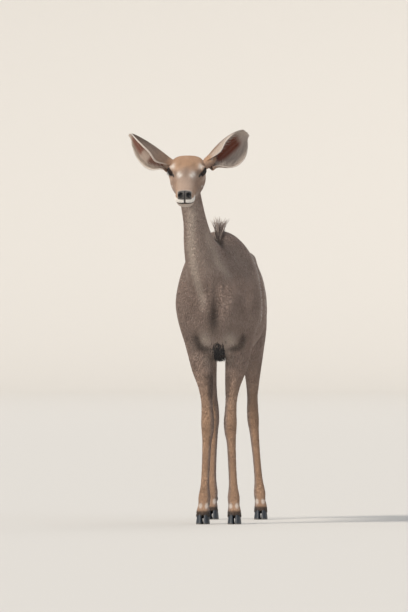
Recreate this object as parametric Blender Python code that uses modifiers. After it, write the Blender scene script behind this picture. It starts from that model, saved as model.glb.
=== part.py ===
"""A life-size greater kudu cow, standing still and looking ahead, as faceted solids.

Metres, +Z up. The animal faces -Y and its own left side is at +X. The body is
lofted whole, blended, thinned and then parted with thin cuts into named nodes.
"""

import math
import random

import bmesh
import bpy
import numpy as np
from mathutils import Matrix, Vector
from mathutils.bvhtree import BVHTree

# Driving sizes, in metres
WITHERS_HEIGHT = 1.245      # floor to the top of the shoulder hump, hair left out
BELLY_HEIGHT = 0.705        # floor to the lowest point of chest and belly
BARREL_HALF_WIDTH = 0.193   # half the width of the rib cage at its widest
EYE_MIDDLE = Vector((-0.113, -0.41, 1.496))   # midway between the two eyeballs
FACE_PITCH = math.radians(29)                 # how far the muzzle points below level
GAP = 0.0004                # what is left between two nodes that touch

# Places of the parting cuts
LEG_TOP = 0.690             # level cut just under the belly
KNEE_HEIGHT = 0.425
HOCK_HEIGHT = 0.455
CORONET_HEIGHT = 0.047      # hair line above the hoof, at the front of the foot
NECK_BASE = Vector((-0.05, -0.145, 1.095))
NECK_BASE_NORMAL = Vector((0, -0.70, 0.71))
HEAD_BACK = Vector((-0.11, -0.312, 1.445))
HEAD_BACK_NORMAL = Vector((0, -0.86, 0.51))

# How fine the soft forms are
CUTTER_SIZE = 4.0
BODY_VOXEL = 0.0085
HEAD_VOXEL = 0.0032
BODY_TRIANGLES = 4300
HEAD_TRIANGLES = 2000

# Each row of the trunk: y, height of the widest point, half width, top, bottom, squareness
TRUNK_ROWS = (
    (-0.222, 0.930, 0.030, 0.965, 0.890, 2.0),
    (-0.208, 0.930, 0.060, 1.000, 0.845, 2.0),
    (-0.165, 0.935, 0.102, 1.065, 0.785, 2.0),
    (-0.105, 0.940, 0.136, 1.135, 0.740, 2.0),
    (-0.035, 0.935, 0.158, 1.213, 0.714, 2.0),
    (0.040, 0.925, 0.172, WITHERS_HEIGHT + 0.004, 0.706, 2.0),
    (0.135, 0.915, 0.187, 1.238, 0.705, 2.05),
    (0.255, 0.908, BARREL_HALF_WIDTH, 1.206, BELLY_HEIGHT, 2.1),
    (0.400, 0.908, 0.181, 1.191, BELLY_HEIGHT, 2.15),
    (0.540, 0.925, 0.169, 1.189, 0.724, 2.15),
    (0.660, 0.955, 0.160, 1.197, 0.772, 2.1),
    (0.770, 0.985, 0.148, 1.194, 0.830, 2.1),
    (0.870, 1.005, 0.124, 1.170, 0.885, 2.0),
    (0.935, 1.015, 0.088, 1.135, 0.925, 2.0),
    (0.968, 1.020, 0.050, 1.088, 0.965, 2.0),
    (0.984, 1.022, 0.016, 1.050, 0.992, 2.0),
)

# Each row of the neck, head end first: x, y, z, half width, nape side, throat side
NECK_ROWS = (
    (-0.113, -0.345, 1.480, 0.042, 0.045, 0.048),
    (-0.110, -0.318, 1.425, 0.046, 0.058, 0.058),
    (-0.099, -0.287, 1.350, 0.047, 0.064, 0.065),
    (-0.087, -0.248, 1.275, 0.051, 0.076, 0.077),
    (-0.078, -0.203, 1.200, 0.063, 0.106, 0.095),
    (-0.060, -0.157, 1.125, 0.078, 0.152, 0.114),
    (-0.036, -0.107, 1.055, 0.096, 0.200, 0.132),
    (-0.014, -0.050, 0.985, 0.106, 0.170, 0.135),
    (0.000, 0.015, 0.935, 0.105, 0.150, 0.110),
)

# Each row of the head, muzzle end first: distance from the eyes along the face,
# half width, top above the eye line, bottom below it, squareness
HEAD_ROWS = (
    (0.210, 0.019, -0.010, 0.046, 2.3),
    (0.204, 0.030, 0.001, 0.058, 2.3),
    (0.190, 0.039, 0.008, 0.071, 2.4),
    (0.165, 0.0430, 0.013, 0.084, 2.4),
    (0.130, 0.0425, 0.018, 0.089, 2.4),
    (0.090, 0.0450, 0.024, 0.101, 2.4),
    (0.050, 0.0550, 0.031, 0.114, 2.5),
    (0.015, 0.0680, 0.037, 0.123, 2.6),
    (-0.020, 0.0720, 0.038, 0.126, 2.8),
    (-0.055, 0.0735, 0.035, 0.118, 3.1),
    (-0.090, 0.0670, 0.025, 0.098, 2.8),
    (-0.120, 0.0430, 0.000, 0.072, 2.1),
)

# Fore leg, top first: x, y, z, half width, half depth behind, half depth in front
FORE_LEG_ROWS = (
    (0.078, 0.075, 1.175, 0.026, 0.045, 0.045),
    (0.112, 0.030, 1.080, 0.043, 0.080, 0.075),
    (0.126, -0.035, 0.970, 0.051, 0.110, 0.098),
    (0.118, -0.030, 0.880, 0.054, 0.110, 0.102),
    (0.100, 0.002, 0.800, 0.053, 0.092, 0.088),
    (0.085, 0.014, 0.735, 0.052, 0.070, 0.068),
    (0.071, 0.009, 0.660, 0.046, 0.053, 0.048),
    (0.058, 0.003, 0.590, 0.033, 0.039, 0.037),
    (0.052, 0.000, 0.525, 0.0250, 0.031, 0.029),
    (0.049, -0.003, 0.470, 0.0262, 0.029, 0.028),
    (0.048, -0.004, 0.430, 0.0285, 0.030, 0.030),
    (0.049, -0.001, 0.385, 0.0250, 0.027, 0.025),
    (0.052, 0.002, 0.345, 0.0200, 0.022, 0.021),
    (0.056, 0.003, 0.250, 0.0178, 0.0205, 0.0190),
    (0.060, 0.003, 0.165, 0.0190, 0.0215, 0.0195),
    (0.062, 0.002, 0.115, 0.0262, 0.0280, 0.0225),
    (0.064, -0.008, 0.080, 0.0245, 0.0230, 0.0210),
    (0.066, -0.020, 0.055, 0.0290, 0.0270, 0.0260),
    (0.067, -0.027, 0.030, 0.0310, 0.0290, 0.0280),
)

# Hind leg, top first, in the same columns
HIND_LEG_ROWS = (
    (0.060, 0.785, 1.110, 0.055, 0.090, 0.105),
    (0.088, 0.795, 1.020, 0.064, 0.138, 0.140),
    (0.100, 0.790, 0.920, 0.064, 0.150, 0.148),
    (0.104, 0.775, 0.825, 0.060, 0.130, 0.132),
    (0.103, 0.785, 0.740, 0.050, 0.100, 0.104),
    (0.101, 0.825, 0.665, 0.039, 0.072, 0.072),
    (0.099, 0.868, 0.595, 0.0290, 0.052, 0.047),
    (0.097, 0.904, 0.530, 0.0240, 0.045, 0.035),
    (0.096, 0.924, 0.478, 0.0252, 0.041, 0.033),
    (0.098, 0.932, 0.430, 0.0255, 0.031, 0.029),
    (0.103, 0.931, 0.375, 0.0205, 0.025, 0.023),
    (0.113, 0.924, 0.270, 0.0170, 0.0210, 0.0190),
    (0.122, 0.915, 0.175, 0.0182, 0.0215, 0.0195),
    (0.127, 0.908, 0.118, 0.0255, 0.0280, 0.0225),
    (0.130, 0.896, 0.082, 0.0235, 0.0230, 0.0210),
    (0.133, 0.883, 0.056, 0.0280, 0.0270, 0.0260),
    (0.134, 0.876, 0.030, 0.0300, 0.0290, 0.0280),
)

# The right hind leg stands nearer the middle: how far its foot moves in from the mirror image
RIGHT_HIND_STEP_IN = 0.056
RIGHT_HIND_HOCK_IN = 0.022

# Tail, root first: y, z, half width, half depth
TAIL_ROWS = (
    (0.900, 1.120, 0.026, 0.024),
    (0.950, 1.100, 0.026, 0.023),
    (0.990, 1.055, 0.024, 0.019),
    (1.007, 0.970, 0.021, 0.014),
    (1.008, 0.880, 0.020, 0.012),
    (1.004, 0.790, 0.019, 0.011),
    (1.000, 0.730, 0.012, 0.008),
)

# Bumps and hollows on the body: centre, reach along x, y and z, and how far the surface moves out
BODY_FORMS = (
    ((0.118, 0.690, 1.145), (0.028, 0.045, 0.030), 0.012),     # point of the hip
    ((0.155, 0.600, 1.050), (0.060, 0.055, 0.060), -0.013),    # hollow of the flank
    ((0.170, -0.030, 0.930), (0.050, 0.060, 0.080), 0.007),    # shoulder muscle
    ((0.145, 0.110, 1.020), (0.050, 0.035, 0.120), -0.006),    # behind the shoulder blade
    ((0.110, 0.030, 1.110), (0.030, 0.025, 0.090), 0.005),     # spine of the shoulder blade
    ((0.125, 0.085, 0.770), (0.040, 0.030, 0.025), 0.008),     # point of the elbow
    ((0.135, 0.690, 0.745), (0.040, 0.040, 0.050), 0.007),     # stifle
    ((0.080, 0.925, 1.020), (0.040, 0.040, 0.045), 0.009),     # point of the buttock
    ((0.140, 0.860, 0.850), (0.040, 0.030, 0.110), -0.006),    # between the thigh muscles
    ((0.000, -0.230, 0.930), (0.026, 0.050, 0.070), -0.012),   # groove down the breast
    ((0.052, -0.205, 0.900), (0.032, 0.050, 0.060), 0.009),    # breast muscle
    ((0.000, 0.050, 0.700), (0.035, 0.110, 0.030), 0.006),     # keel of the breastbone
)

# Bumps and hollows on the head, in its own frame: out, ahead and above
HEAD_FORMS = (
    ((0.068, 0.000, 0.027), (0.018, 0.026, 0.012), 0.008),     # brow over the eye
    ((0.066, 0.034, 0.002), (0.018, 0.016, 0.014), -0.004),    # inner corner of the eye
    ((0.068, 0.012, -0.030), (0.020, 0.040, 0.012), 0.004),    # cheekbone
    ((0.046, 0.075, -0.008), (0.018, 0.034, 0.020), -0.004),   # hollow beside the nose bone
    ((0.066, -0.030, -0.066), (0.022, 0.042, 0.036), 0.004),   # jaw muscle
    ((0.042, 0.125, -0.048), (0.020, 0.030, 0.024), -0.003),   # behind the lips
    ((0.068, -0.004, -0.002), (0.030, 0.036, 0.028), 0.006),   # rim of the eye socket
    ((0.026, 0.200, -0.002), (0.011, 0.012, 0.012), 0.004),    # wing of the nostril
    ((0.044, 0.170, -0.010), (0.018, 0.026, 0.020), -0.004),   # behind the nostril
    ((0.030, 0.188, -0.036), (0.022, 0.020, 0.012), 0.004),    # upper lip
    ((0.000, 0.182, -0.064), (0.030, 0.020, 0.011), 0.003),    # lower lip
    ((0.000, 0.085, -0.105), (0.024, 0.065, 0.020), -0.007),   # between the jaws
    ((0.000, 0.012, 0.040), (0.024, 0.030, 0.020), -0.003),    # dip between the brows
)

EYE_RADIUS = 0.0205
EYE_OUT = 0.0595            # middle of the eyeball from the middle of the head
GAZE = Vector((0.72, 0.69, 0.06))   # out, ahead, above
LID_THICKNESS = 0.0024
EYE_OPENING = Vector((0.0182, 0.0128))     # half length and half height of the gap between the lids
MOUTH_PATH = ((0.000, 0.212, -0.043), (0.022, 0.203, -0.045), (0.036, 0.180, -0.049),
              (0.041, 0.150, -0.054), (0.042, 0.125, -0.060))
MOUTH_DEPTH = 0.0045
MOUTH_HALF_HEIGHT = 0.0022
NOSTRIL = Vector((0.0180, 0.206, -0.006))  # out, ahead, above
NOSTRIL_SIZE = Vector((0.0060, 0.0120, 0.0065))

# Ears: where the root sits on the head, which way the ear points and which way it opens
EAR_THICKNESS = 0.0042
EAR_ROOT = Vector((0.067, -0.085, 0.000))       # out, ahead, above, in the head's own frame
EAR_BULB = Vector((0.024, 0.024, 0.034))
EAR_STEPS = 12
LEFT_EAR_WAY = Vector((0.1762, 0.0760, 0.1271))
LEFT_EAR_OPENS = Vector((0.275, -0.961, -0.030))
LEFT_EAR_SPREAD = 1.0
LEFT_EAR_SHIFT = Vector((0.0057, 0.0047, -0.0116))
RIGHT_EAR_WAY = Vector((-0.1855, -0.0039, 0.1185))
RIGHT_EAR_OPENS = Vector((-0.263, -0.720, -0.642))
RIGHT_EAR_SPREAD = 0.816    # this ear is turned and more tightly curled
RIGHT_EAR_SHIFT = Vector((0.0056, 0.0012, -0.0051))
# Along the ear from root to tip: share of the length, then radius and angle of the curl on the
# side nearer the crown, and radius and angle on the outer side
EAR_ROWS = (
    (0.00, 0.022, 2.53, 0.036, 2.60),
    (0.12, 0.026, 2.70, 0.037, 2.13),
    (0.28, 0.037, 2.72, 0.064, 1.65),
    (0.46, 0.045, 2.20, 0.077, 1.40),
    (0.66, 0.046, 1.95, 0.073, 1.19),
    (0.82, 0.039, 1.75, 0.054, 0.94),
    (0.93, 0.028, 1.45, 0.026, 0.70),
    (1.00, 0.006, 0.80, 0.011, 0.80),
)

# Feet: each hoof claw is one half of the cloven foot
CLAW_HALF_LENGTH = 0.039
CLAW_AHEAD = 0.004          # middle of a claw in front of the middle of the foot
CLAW_HALF_WIDTH = 0.0145
CLAW_APART = 0.0165         # middle of a claw from the middle of the foot
CORONET_SLOPE = -0.28       # how far the hair line drops for each metre back
TOE_OUT = math.radians(6)
# Outline of a claw from heel to toe: share of its half length, inner side, outer side (shares of its half width)
CLAW_OUTLINE = ((-1.0, -0.35, 0.30), (-0.85, -0.85, 0.80), (-0.40, -1.0, 1.0), (0.10, -0.95, 0.95),
                (0.55, -0.80, 0.68), (0.85, -0.58, 0.20), (1.0, -0.40, -0.20))
# Levels up a claw: share of its height, scale of the outline
CLAW_LEVELS = ((0.0, 0.96), (0.10, 1.0), (1.0, 0.80))
CLAW_LEAN = 0.012           # how far the top of a claw sits behind its sole
DEWCLAW_SIZE = Vector((0.0085, 0.0090, 0.0150))
DEWCLAW_OUT = 0.0150
FORE_DEWCLAW = Vector((0.063, 0.023, 0.088))
HIND_DEWCLAW = Vector((0.1285, 0.925, 0.090))

# Hair locks: share of the way down the lock, half width and half thickness as shares of the root's
LOCK_ROWS = ((0.0, 0.75, 1.0), (0.28, 1.0, 0.95), (0.62, 0.72, 0.65), (1.0, 0.10, 0.15))
LOCK_SINK = 0.010           # how deep a root starts under the surface
NAPE_LOCKS = 27             # along the nape, in three staggered rows
NAPE_LOCK_LENGTH = 0.048
NAPE_LOCK_WIDTH = (0.022, 0.028)
NAPE_LOCK_THICKNESS = 0.007
CREST_LOCKS = 19            # from the withers back along the spine
CREST_START = -0.045        # y of the first one
CREST_LENGTH = 0.590
CREST_LOCK_LENGTH = 0.026
CREST_LOCK_WIDTH = (0.024, 0.032)
CREST_LOCK_THICKNESS = 0.008
TUFT_LENGTH = 0.098         # how much longer the locks of the upright tuft on the withers are
TUFT_PLACE = 0.075          # middle of the tuft as a share of the crest, and how far it spreads
TUFT_SPREAD = 0.105
TAIL_LOCKS = 16
TAIL_LOCK_LENGTH = (0.075, 0.130)
TAIL_LOCK_WIDTH = (0.020, 0.026)
TAIL_LOCK_THICKNESS = 0.008
LENGTH_VARIES = (0.88, 1.12)

COAT_BROWN = (0.315, 0.250, 0.200, 1.0)
FACE_TAN = (0.400, 0.255, 0.160, 1.0)
MANE_DARK = (0.085, 0.065, 0.055, 1.0)
HOOF_BLACK = (0.030, 0.032, 0.036, 1.0)
EYE_BLACK = (0.012, 0.009, 0.008, 1.0)


def material(name, colour, roughness):
    """A plain finish for one kind of surface."""
    made = bpy.data.materials.new(name)
    made.use_nodes = True
    shader = made.node_tree.nodes["Principled BSDF"]
    shader.inputs["Base Color"].default_value = colour
    shader.inputs["Roughness"].default_value = roughness
    shader.inputs["Metallic"].default_value = 0.0
    return made


def smooth_rows(keys, steps):
    """Rows on a smooth curve through the key rows, with this many steps from one key to the next."""
    keys = np.array(keys, float)
    padded = np.vstack([2 * keys[0] - keys[1], keys, 2 * keys[-1] - keys[-2]])
    rows = []
    for i in range(1, len(keys)):
        before, start, end, after = padded[i - 1:i + 3]
        for step in range(steps):
            t = step / steps
            rows.append(0.5 * (2 * start + (end - before) * t
                               + (2 * before - 5 * start + 4 * end - after) * t * t
                               + (3 * start - before - 3 * end + after) * t ** 3))
    rows.append(keys[-1])
    return np.array(rows)


def ring(centre, across, up, half_width, above, below, squareness, around):
    """Points round one section. Above and below are its reaches along up and against it."""
    points = []
    for i in range(around):
        angle = 2 * math.pi * i / around
        c, s = math.cos(angle), math.sin(angle)
        wide = math.copysign(abs(c) ** (2 / squareness), c) * half_width
        tall = math.copysign(abs(s) ** (2 / squareness), s) * (above if s > 0 else below)
        points.append(centre + across * wide + up * tall)
    return points


def loft(name, rings):
    """A closed solid through rings of equal length, which run the same way round."""
    around = len(rings[0])
    points = [p for one in rings for p in one]
    faces = []
    for r in range(len(rings) - 1):
        for i in range(around):
            j = (i + 1) % around
            a, b = r * around, (r + 1) * around
            faces.append((a + i, a + j, b + j, b + i))
    faces.append(tuple(reversed(range(around))))
    faces.append(tuple(range((len(rings) - 1) * around, len(rings) * around)))
    mesh = bpy.data.meshes.new(name)
    mesh.from_pydata(points, [], faces)
    made = new_object(name, mesh)
    edit(made, lambda bm: bmesh.ops.recalc_face_normals(bm, faces=bm.faces))
    return made


def sweep(name, rows, around=24):
    """A loft whose rows are x, y, z, half width, reach above, reach below and squareness, along their own line."""
    centres = rows[:, :3]
    ways = np.gradient(centres, axis=0)
    rings = []
    for row, way in zip(rows, ways):
        along = Vector(way).normalized()
        across = Vector((1, 0, 0))
        across = (across - along * across.dot(along)).normalized()
        up = across.cross(along)
        rings.append(ring(Vector(row[:3]), across, up, *row[3:7], around))
    return loft(name, rings)


def new_object(name, mesh):
    made = bpy.data.objects.new(name, mesh)
    bpy.context.scene.collection.objects.link(made)
    return made


def edit(obj, change):
    """Runs one change on an object's mesh through bmesh."""
    bm = bmesh.new()
    bm.from_mesh(obj.data)
    change(bm)
    bm.to_mesh(obj.data)
    bm.free()


def apply_modifiers(obj):
    """Makes the object's modifiers part of its mesh."""
    bpy.context.view_layer.update()
    graph = bpy.context.evaluated_depsgraph_get()
    mesh = bpy.data.meshes.new_from_object(obj.evaluated_get(graph))
    obj.modifiers.clear()
    obj.data = mesh


def remove(objects):
    for obj in objects:
        bpy.data.objects.remove(obj)


def join(name, pieces):
    """One object that holds all the pieces, which still overlap."""
    bm = bmesh.new()
    for piece in pieces:
        bm.from_mesh(piece.data)
    mesh = bpy.data.meshes.new(name)
    bm.to_mesh(mesh)
    bm.free()
    remove(pieces)
    return new_object(name, mesh)


def boolean(obj, others, operation, solver="EXACT"):
    """Joins the others to the object, or cuts them out of it, and removes them."""
    group = bpy.data.collections.new("boolean_pieces")
    for other in others:
        group.objects.link(other)
    modifier = obj.modifiers.new(operation.lower(), "BOOLEAN")
    modifier.operation = operation
    modifier.operand_type = "COLLECTION"
    modifier.collection = group
    modifier.solver = solver
    apply_modifiers(obj)
    remove(others)
    bpy.data.collections.remove(group)
    return obj


def keep_largest(obj):
    """Keeps the object's largest closed surface."""
    def change(bm):
        bmesh.ops.remove_doubles(bm, verts=bm.verts, dist=0.00002)
        left, bodies = set(bm.faces), []
        while left:
            stack, body = [left.pop()], []
            while stack:
                face = stack.pop()
                body.append(face)
                for edge in face.edges:
                    for other in edge.link_faces:
                        if other in left:
                            left.discard(other)
                            stack.append(other)
            bodies.append(body)
        bodies.sort(key=len, reverse=True)
        bmesh.ops.delete(bm, geom=[f for body in bodies[1:] for f in body], context="FACES")
    edit(obj, change)


def half_space(point, way):
    """A block that fills everything on one side of a plane."""
    bm = bmesh.new()
    bmesh.ops.create_cube(bm, size=CUTTER_SIZE)
    turn = way.normalized().to_track_quat("Z", "Y").to_matrix().to_4x4()
    middle = point + way.normalized() * CUTTER_SIZE / 2
    bmesh.ops.transform(bm, verts=bm.verts, matrix=Matrix.Translation(middle) @ turn)
    mesh = bpy.data.meshes.new("half_space")
    bm.to_mesh(mesh)
    bm.free()
    return new_object("half_space", mesh)


def split_off(obj, name, point, normal):
    """Parts an object at a plane. What lies on the normal's side becomes the new object, and a gap is left between."""
    other = new_object(name, obj.data.copy())
    normal = normal.normalized()
    boolean(obj, [half_space(point - normal * GAP / 2, normal)], "DIFFERENCE")
    boolean(other, [half_space(point + normal * GAP / 2, -normal)], "DIFFERENCE")
    return other


def thin_out(obj, triangles):
    """Brings a mesh down to about this many triangles."""
    edit(obj, lambda bm: bmesh.ops.triangulate(bm, faces=bm.faces))
    modifier = obj.modifiers.new("thin_out", "DECIMATE")
    modifier.ratio = triangles / len(obj.data.polygons)
    apply_modifiers(obj)


def fuse(obj, voxel):
    """Turns overlapping closed pieces into one even surface."""
    modifier = obj.modifiers.new("fuse", "REMESH")
    modifier.mode = "VOXEL"
    modifier.voxel_size = voxel
    apply_modifiers(obj)


def relax(obj, rounds, weight_of):
    """Smooths the surface, each point by its own weight from 0 to 1."""
    group = obj.vertex_groups.new(name="relax")
    for vertex in obj.data.vertices:
        group.add([vertex.index], weight_of(vertex.co), "REPLACE")
    modifier = obj.modifiers.new("relax", "SMOOTH")
    modifier.factor = 0.5
    modifier.iterations = rounds
    modifier.vertex_group = group.name
    apply_modifiers(obj)


def in_body(points):
    return points


def in_face(points):
    """World points as out, ahead and above in the head's own frame."""
    away = points - np.array(EYE_MIDDLE)
    ahead = -math.cos(FACE_PITCH) * away[:, 1] - math.sin(FACE_PITCH) * away[:, 2]
    above = -math.sin(FACE_PITCH) * away[:, 1] + math.cos(FACE_PITCH) * away[:, 2]
    return np.column_stack([away[:, 0], ahead, above])


def press(obj, forms, frame):
    """Moves the surface out or in by soft bumps: centre, reach and height of each, on both sides."""
    mesh = obj.data
    count = len(mesh.vertices)
    points, normals = np.empty(count * 3), np.empty(count * 3)
    mesh.vertices.foreach_get("co", points)
    mesh.vertices.foreach_get("normal", normals)
    points, normals = points.reshape(-1, 3), normals.reshape(-1, 3)
    places = frame(points)
    push = np.zeros(count)
    for centre, reach, height in forms:
        for side in ((1, -1) if centre[0] != 0 else (1,)):
            away = (places - np.array(centre) * (side, 1, 1)) / np.array(reach)
            push += height * np.exp(-(away ** 2).sum(1))
    mesh.vertices.foreach_set("co", (points + normals * push[:, None]).ravel())
    mesh.update()


def grown(obj, name, by):
    """A copy whose surface lies a little further out, to cut a neighbour clear of it."""
    copy = new_object(name, obj.data.copy())
    for vertex in copy.data.vertices:
        vertex.co += vertex.normal * by
    return copy


def trunk():
    rows = smooth_rows(TRUNK_ROWS, 3)
    rings = [ring(Vector((0, y, middle)), Vector((1, 0, 0)), Vector((0, 0, 1)),
                  half, top - middle, middle - bottom, square, 28)
             for y, middle, half, top, bottom, square in rows]
    return loft("trunk", rings)


def with_squareness(rows, squareness=2.1):
    return np.column_stack([rows, np.full(len(rows), squareness)])


def neck(keys):
    return sweep("neck_form", with_squareness(smooth_rows(keys, 3)))


def leg(name, keys, side):
    rows = smooth_rows(keys, 3)
    if side < 0 and keys is HIND_LEG_ROWS:
        rows[:, 0] -= np.interp(rows[:, 2], (0.0, 0.45, 0.80), (RIGHT_HIND_STEP_IN, RIGHT_HIND_HOCK_IN, 0.0))
    rows[:, 0] *= side
    return sweep(name, with_squareness(rows, 2.2), 18)


def face_place(ahead, out, above):
    """A point given by its distance ahead of the eyes along the face, out to the left, and above the eye line."""
    forward = Vector((0, -math.cos(FACE_PITCH), -math.sin(FACE_PITCH)))
    upward = Vector((0, -math.sin(FACE_PITCH), math.cos(FACE_PITCH)))
    return EYE_MIDDLE + forward * ahead + Vector((out, 0, 0)) + upward * above


def skull(around, steps):
    rings = []
    upward = (face_place(0, 0, 1) - face_place(0, 0, 0)).normalized()
    for ahead, half, top, bottom, square in smooth_rows(HEAD_ROWS, steps):
        middle = (top - bottom) * 0.35
        rings.append(ring(face_place(ahead, 0, middle), Vector((1, 0, 0)), upward,
                          half, top - middle, bottom + middle, square, around))
    return loft("skull", rings)


def weight_of_body(place):
    """Full smoothing on trunk and neck, none on the thin legs."""
    return min(max((place.z - 0.62) / 0.12, 0.0), 1.0)


def weight_of_collar(place):
    """Strongest where the neck runs into the chest and the shoulders."""
    away = Vector(((place.x - NECK_BASE.x / 2) / 0.19, (place.y + 0.13) / 0.16, (place.z - 1.03) / 0.20))
    return math.exp(-away.length_squared) if place.z > 0.75 else 0.0


def build_body():
    """Trunk, neck and legs as one blended surface, thinned out. Its head is only rough and is cut away later."""
    pieces = [trunk(), neck(NECK_ROWS), skull(20, 2)]
    for side in (1, -1):
        pieces.append(leg("fore", FORE_LEG_ROWS, side))
        pieces.append(leg("hind", HIND_LEG_ROWS, side))
    body = join("torso", pieces)
    fuse(body, BODY_VOXEL)
    relax(body, 90, weight_of_collar)
    relax(body, 16, weight_of_body)
    press(body, BODY_FORMS, in_body)
    relax(body, 2, lambda place: 0.6)
    thin_out(body, BODY_TRIANGLES)
    return body


def lock(root, way, side, bend, length, width, thickness):
    """One flat, tapered lock of hair. It bends along its way, and its root starts inside what it grows from."""
    rings = []
    for share, wide, thick in LOCK_ROWS:
        place = root + way * length * share + bend * length * share * share
        flat = side.cross(way + bend * 2 * share).normalized()
        across = side * width / 2 * wide
        deep = flat * thickness / 2 * thick
        rings.append([place + across, place + deep, place - across, place - deep])
    return loft("lock", rings)


def surface_point(tree, inside, way):
    """Where a ray from inside leaves the surface."""
    hit = tree.ray_cast(inside, way)
    return hit[0]


def nape_locks(tree, chance):
    """Locks of the mane down the nape."""
    rows = smooth_rows(NECK_ROWS, 8)
    first, span = 6, 38
    locks = []
    for i in range(NAPE_LOCKS):
        number = int(first + (i + 0.5) / NAPE_LOCKS * span)
        middle = Vector(rows[number][:3])
        down = (Vector(rows[number + 1][:3]) - middle).normalized()
        back = (Vector((0, 1, 0)) - down * down.y).normalized()
        back = (back + Vector((((i % 3) - 1) * 0.16, 0, 0))).normalized()
        root = surface_point(tree, middle, back)
        way = (back * 0.80 + down * 0.60).normalized()
        side = way.cross(back).normalized()
        length = NAPE_LOCK_LENGTH * chance.uniform(*LENGTH_VARIES) + LOCK_SINK
        locks.append(lock(root - back * LOCK_SINK, way, side, down * 0.35 - back * 0.10,
                          length, chance.uniform(*NAPE_LOCK_WIDTH), NAPE_LOCK_THICKNESS))
    return locks


def crest_locks(tree, chance):
    """An upright tuft on the withers and the low crest that runs back from it along the spine."""
    locks = []
    for i in range(CREST_LOCKS):
        share = i / (CREST_LOCKS - 1)
        tuft = math.exp(-((share - TUFT_PLACE) / TUFT_SPREAD) ** 2)
        x = ((i % 3) - 1) * 0.012
        root = surface_point(tree, Vector((x, CREST_START + share * CREST_LENGTH, 1.0)), Vector((0, 0, 1)))
        low = Vector((x * 6, 0.75, 0.62 - share * 0.22)).normalized()
        upright = Vector((x * 9, 0.22, 0.95)).normalized()
        way = low.lerp(upright, tuft).normalized()
        length = (CREST_LOCK_LENGTH + TUFT_LENGTH * tuft) * chance.uniform(*LENGTH_VARIES) + LOCK_SINK
        bend = Vector((0, 0.25, -0.28)) * (1 - 0.7 * tuft)
        locks.append(lock(root - Vector((0, 0, LOCK_SINK)), way, Vector((1, 0, 0)), bend,
                          length, chance.uniform(*CREST_LOCK_WIDTH), CREST_LOCK_THICKNESS))
    return locks


def spine_locks(body):
    """The mane, the tuft and the crest, rooted on the body's own surface."""
    tree = BVHTree.FromObject(body, bpy.context.evaluated_depsgraph_get())
    chance = random.Random(5)
    return nape_locks(tree, chance) + crest_locks(tree, chance)


def build_tail():
    """The hanging tail with a fringe of locks down both edges and off the tip."""
    rows = smooth_rows(TAIL_ROWS, 2)
    wide = np.column_stack([np.zeros(len(rows)), rows[:, 0], rows[:, 1], rows[:, 2], rows[:, 3], rows[:, 3],
                            np.full(len(rows), 2.0)])
    tail = sweep("tail", wide, 12)
    chance = random.Random(11)
    first = wide[4]
    locks = []
    for i in range(TAIL_LOCKS):
        share = (i + 0.5) / TAIL_LOCKS
        row = first + (wide[-1] - first) * share
        y = float(np.interp(-row[2], -wide[4:, 2], wide[4:, 1]))
        out = (i % 3) - 1
        root = Vector((out * row[3] * 0.45, y, row[2]))
        way = Vector((out * 0.30, 0.10 * chance.uniform(-1, 1.6), -1)).normalized()
        side = Vector((0.25, 1, 0)) if out else Vector((1, 0.1, 0))
        side = (side - way * side.dot(way)).normalized()
        shortest, longest = TAIL_LOCK_LENGTH
        length = (shortest + (longest - shortest) * share) * chance.uniform(*LENGTH_VARIES)
        locks.append(lock(root, way, side, Vector((-out * 0.10, 0, -0.10)), length,
                          chance.uniform(*TAIL_LOCK_WIDTH), TAIL_LOCK_THICKNESS))
    boolean(tail, locks, "UNION")
    keep_largest(tail)
    return tail


def ball(name, centre, size, ways, segments=14, rings=8):
    """An ellipsoid whose poles lie along the last of its three ways."""
    mesh = bpy.data.meshes.new(name)
    bm = bmesh.new()
    bmesh.ops.create_uvsphere(bm, u_segments=segments, v_segments=rings, radius=1.0)
    turn = Matrix((ways[0], ways[1], ways[2])).transposed().to_4x4()
    bmesh.ops.transform(bm, verts=bm.verts,
                        matrix=Matrix.Translation(centre) @ turn @ Matrix.Diagonal(size).to_4x4())
    bm.to_mesh(mesh)
    bm.free()
    return new_object(name, mesh)


def three_ways(along, hint):
    """Two ways across and one along, at right angles."""
    along = along.normalized()
    first = (hint - along * hint.dot(along)).normalized()
    return first, along.cross(first), along


def face_way(ahead, out, above):
    return (face_place(ahead, out, above) - EYE_MIDDLE).normalized()


def eye_frame(side):
    """The middle of an eyeball, and its ways: back along the eye's slit, up, and out along the gaze."""
    centre = face_place(0, EYE_OUT * side, 0)
    gaze = face_way(GAZE.y, GAZE.x * side, GAZE.z)
    return centre, three_ways(gaze, face_way(-0.92, 0, 0.38))


def build_eye(name, side, by=0.0):
    centre, ways = eye_frame(side)
    size = EYE_RADIUS + by
    return ball(name, centre, (size, size, size), ways)


def eye_opening(side):
    """The almond between the lids, as a cutter along the gaze."""
    centre, (along, up, gaze) = eye_frame(side)
    rings = []
    for depth in (EYE_RADIUS * 0.55, EYE_RADIUS * 2.2):
        points = []
        for i in range(16):
            angle = 2 * math.pi * i / 16
            long = math.cos(angle) * EYE_OPENING.x
            high = math.sin(angle) * EYE_OPENING.y * (1 - 0.25 * math.cos(angle) ** 2)
            points.append(centre + along * long + up * high + gaze * depth)
        rings.append(points)
    return loft("opening", rings)


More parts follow.
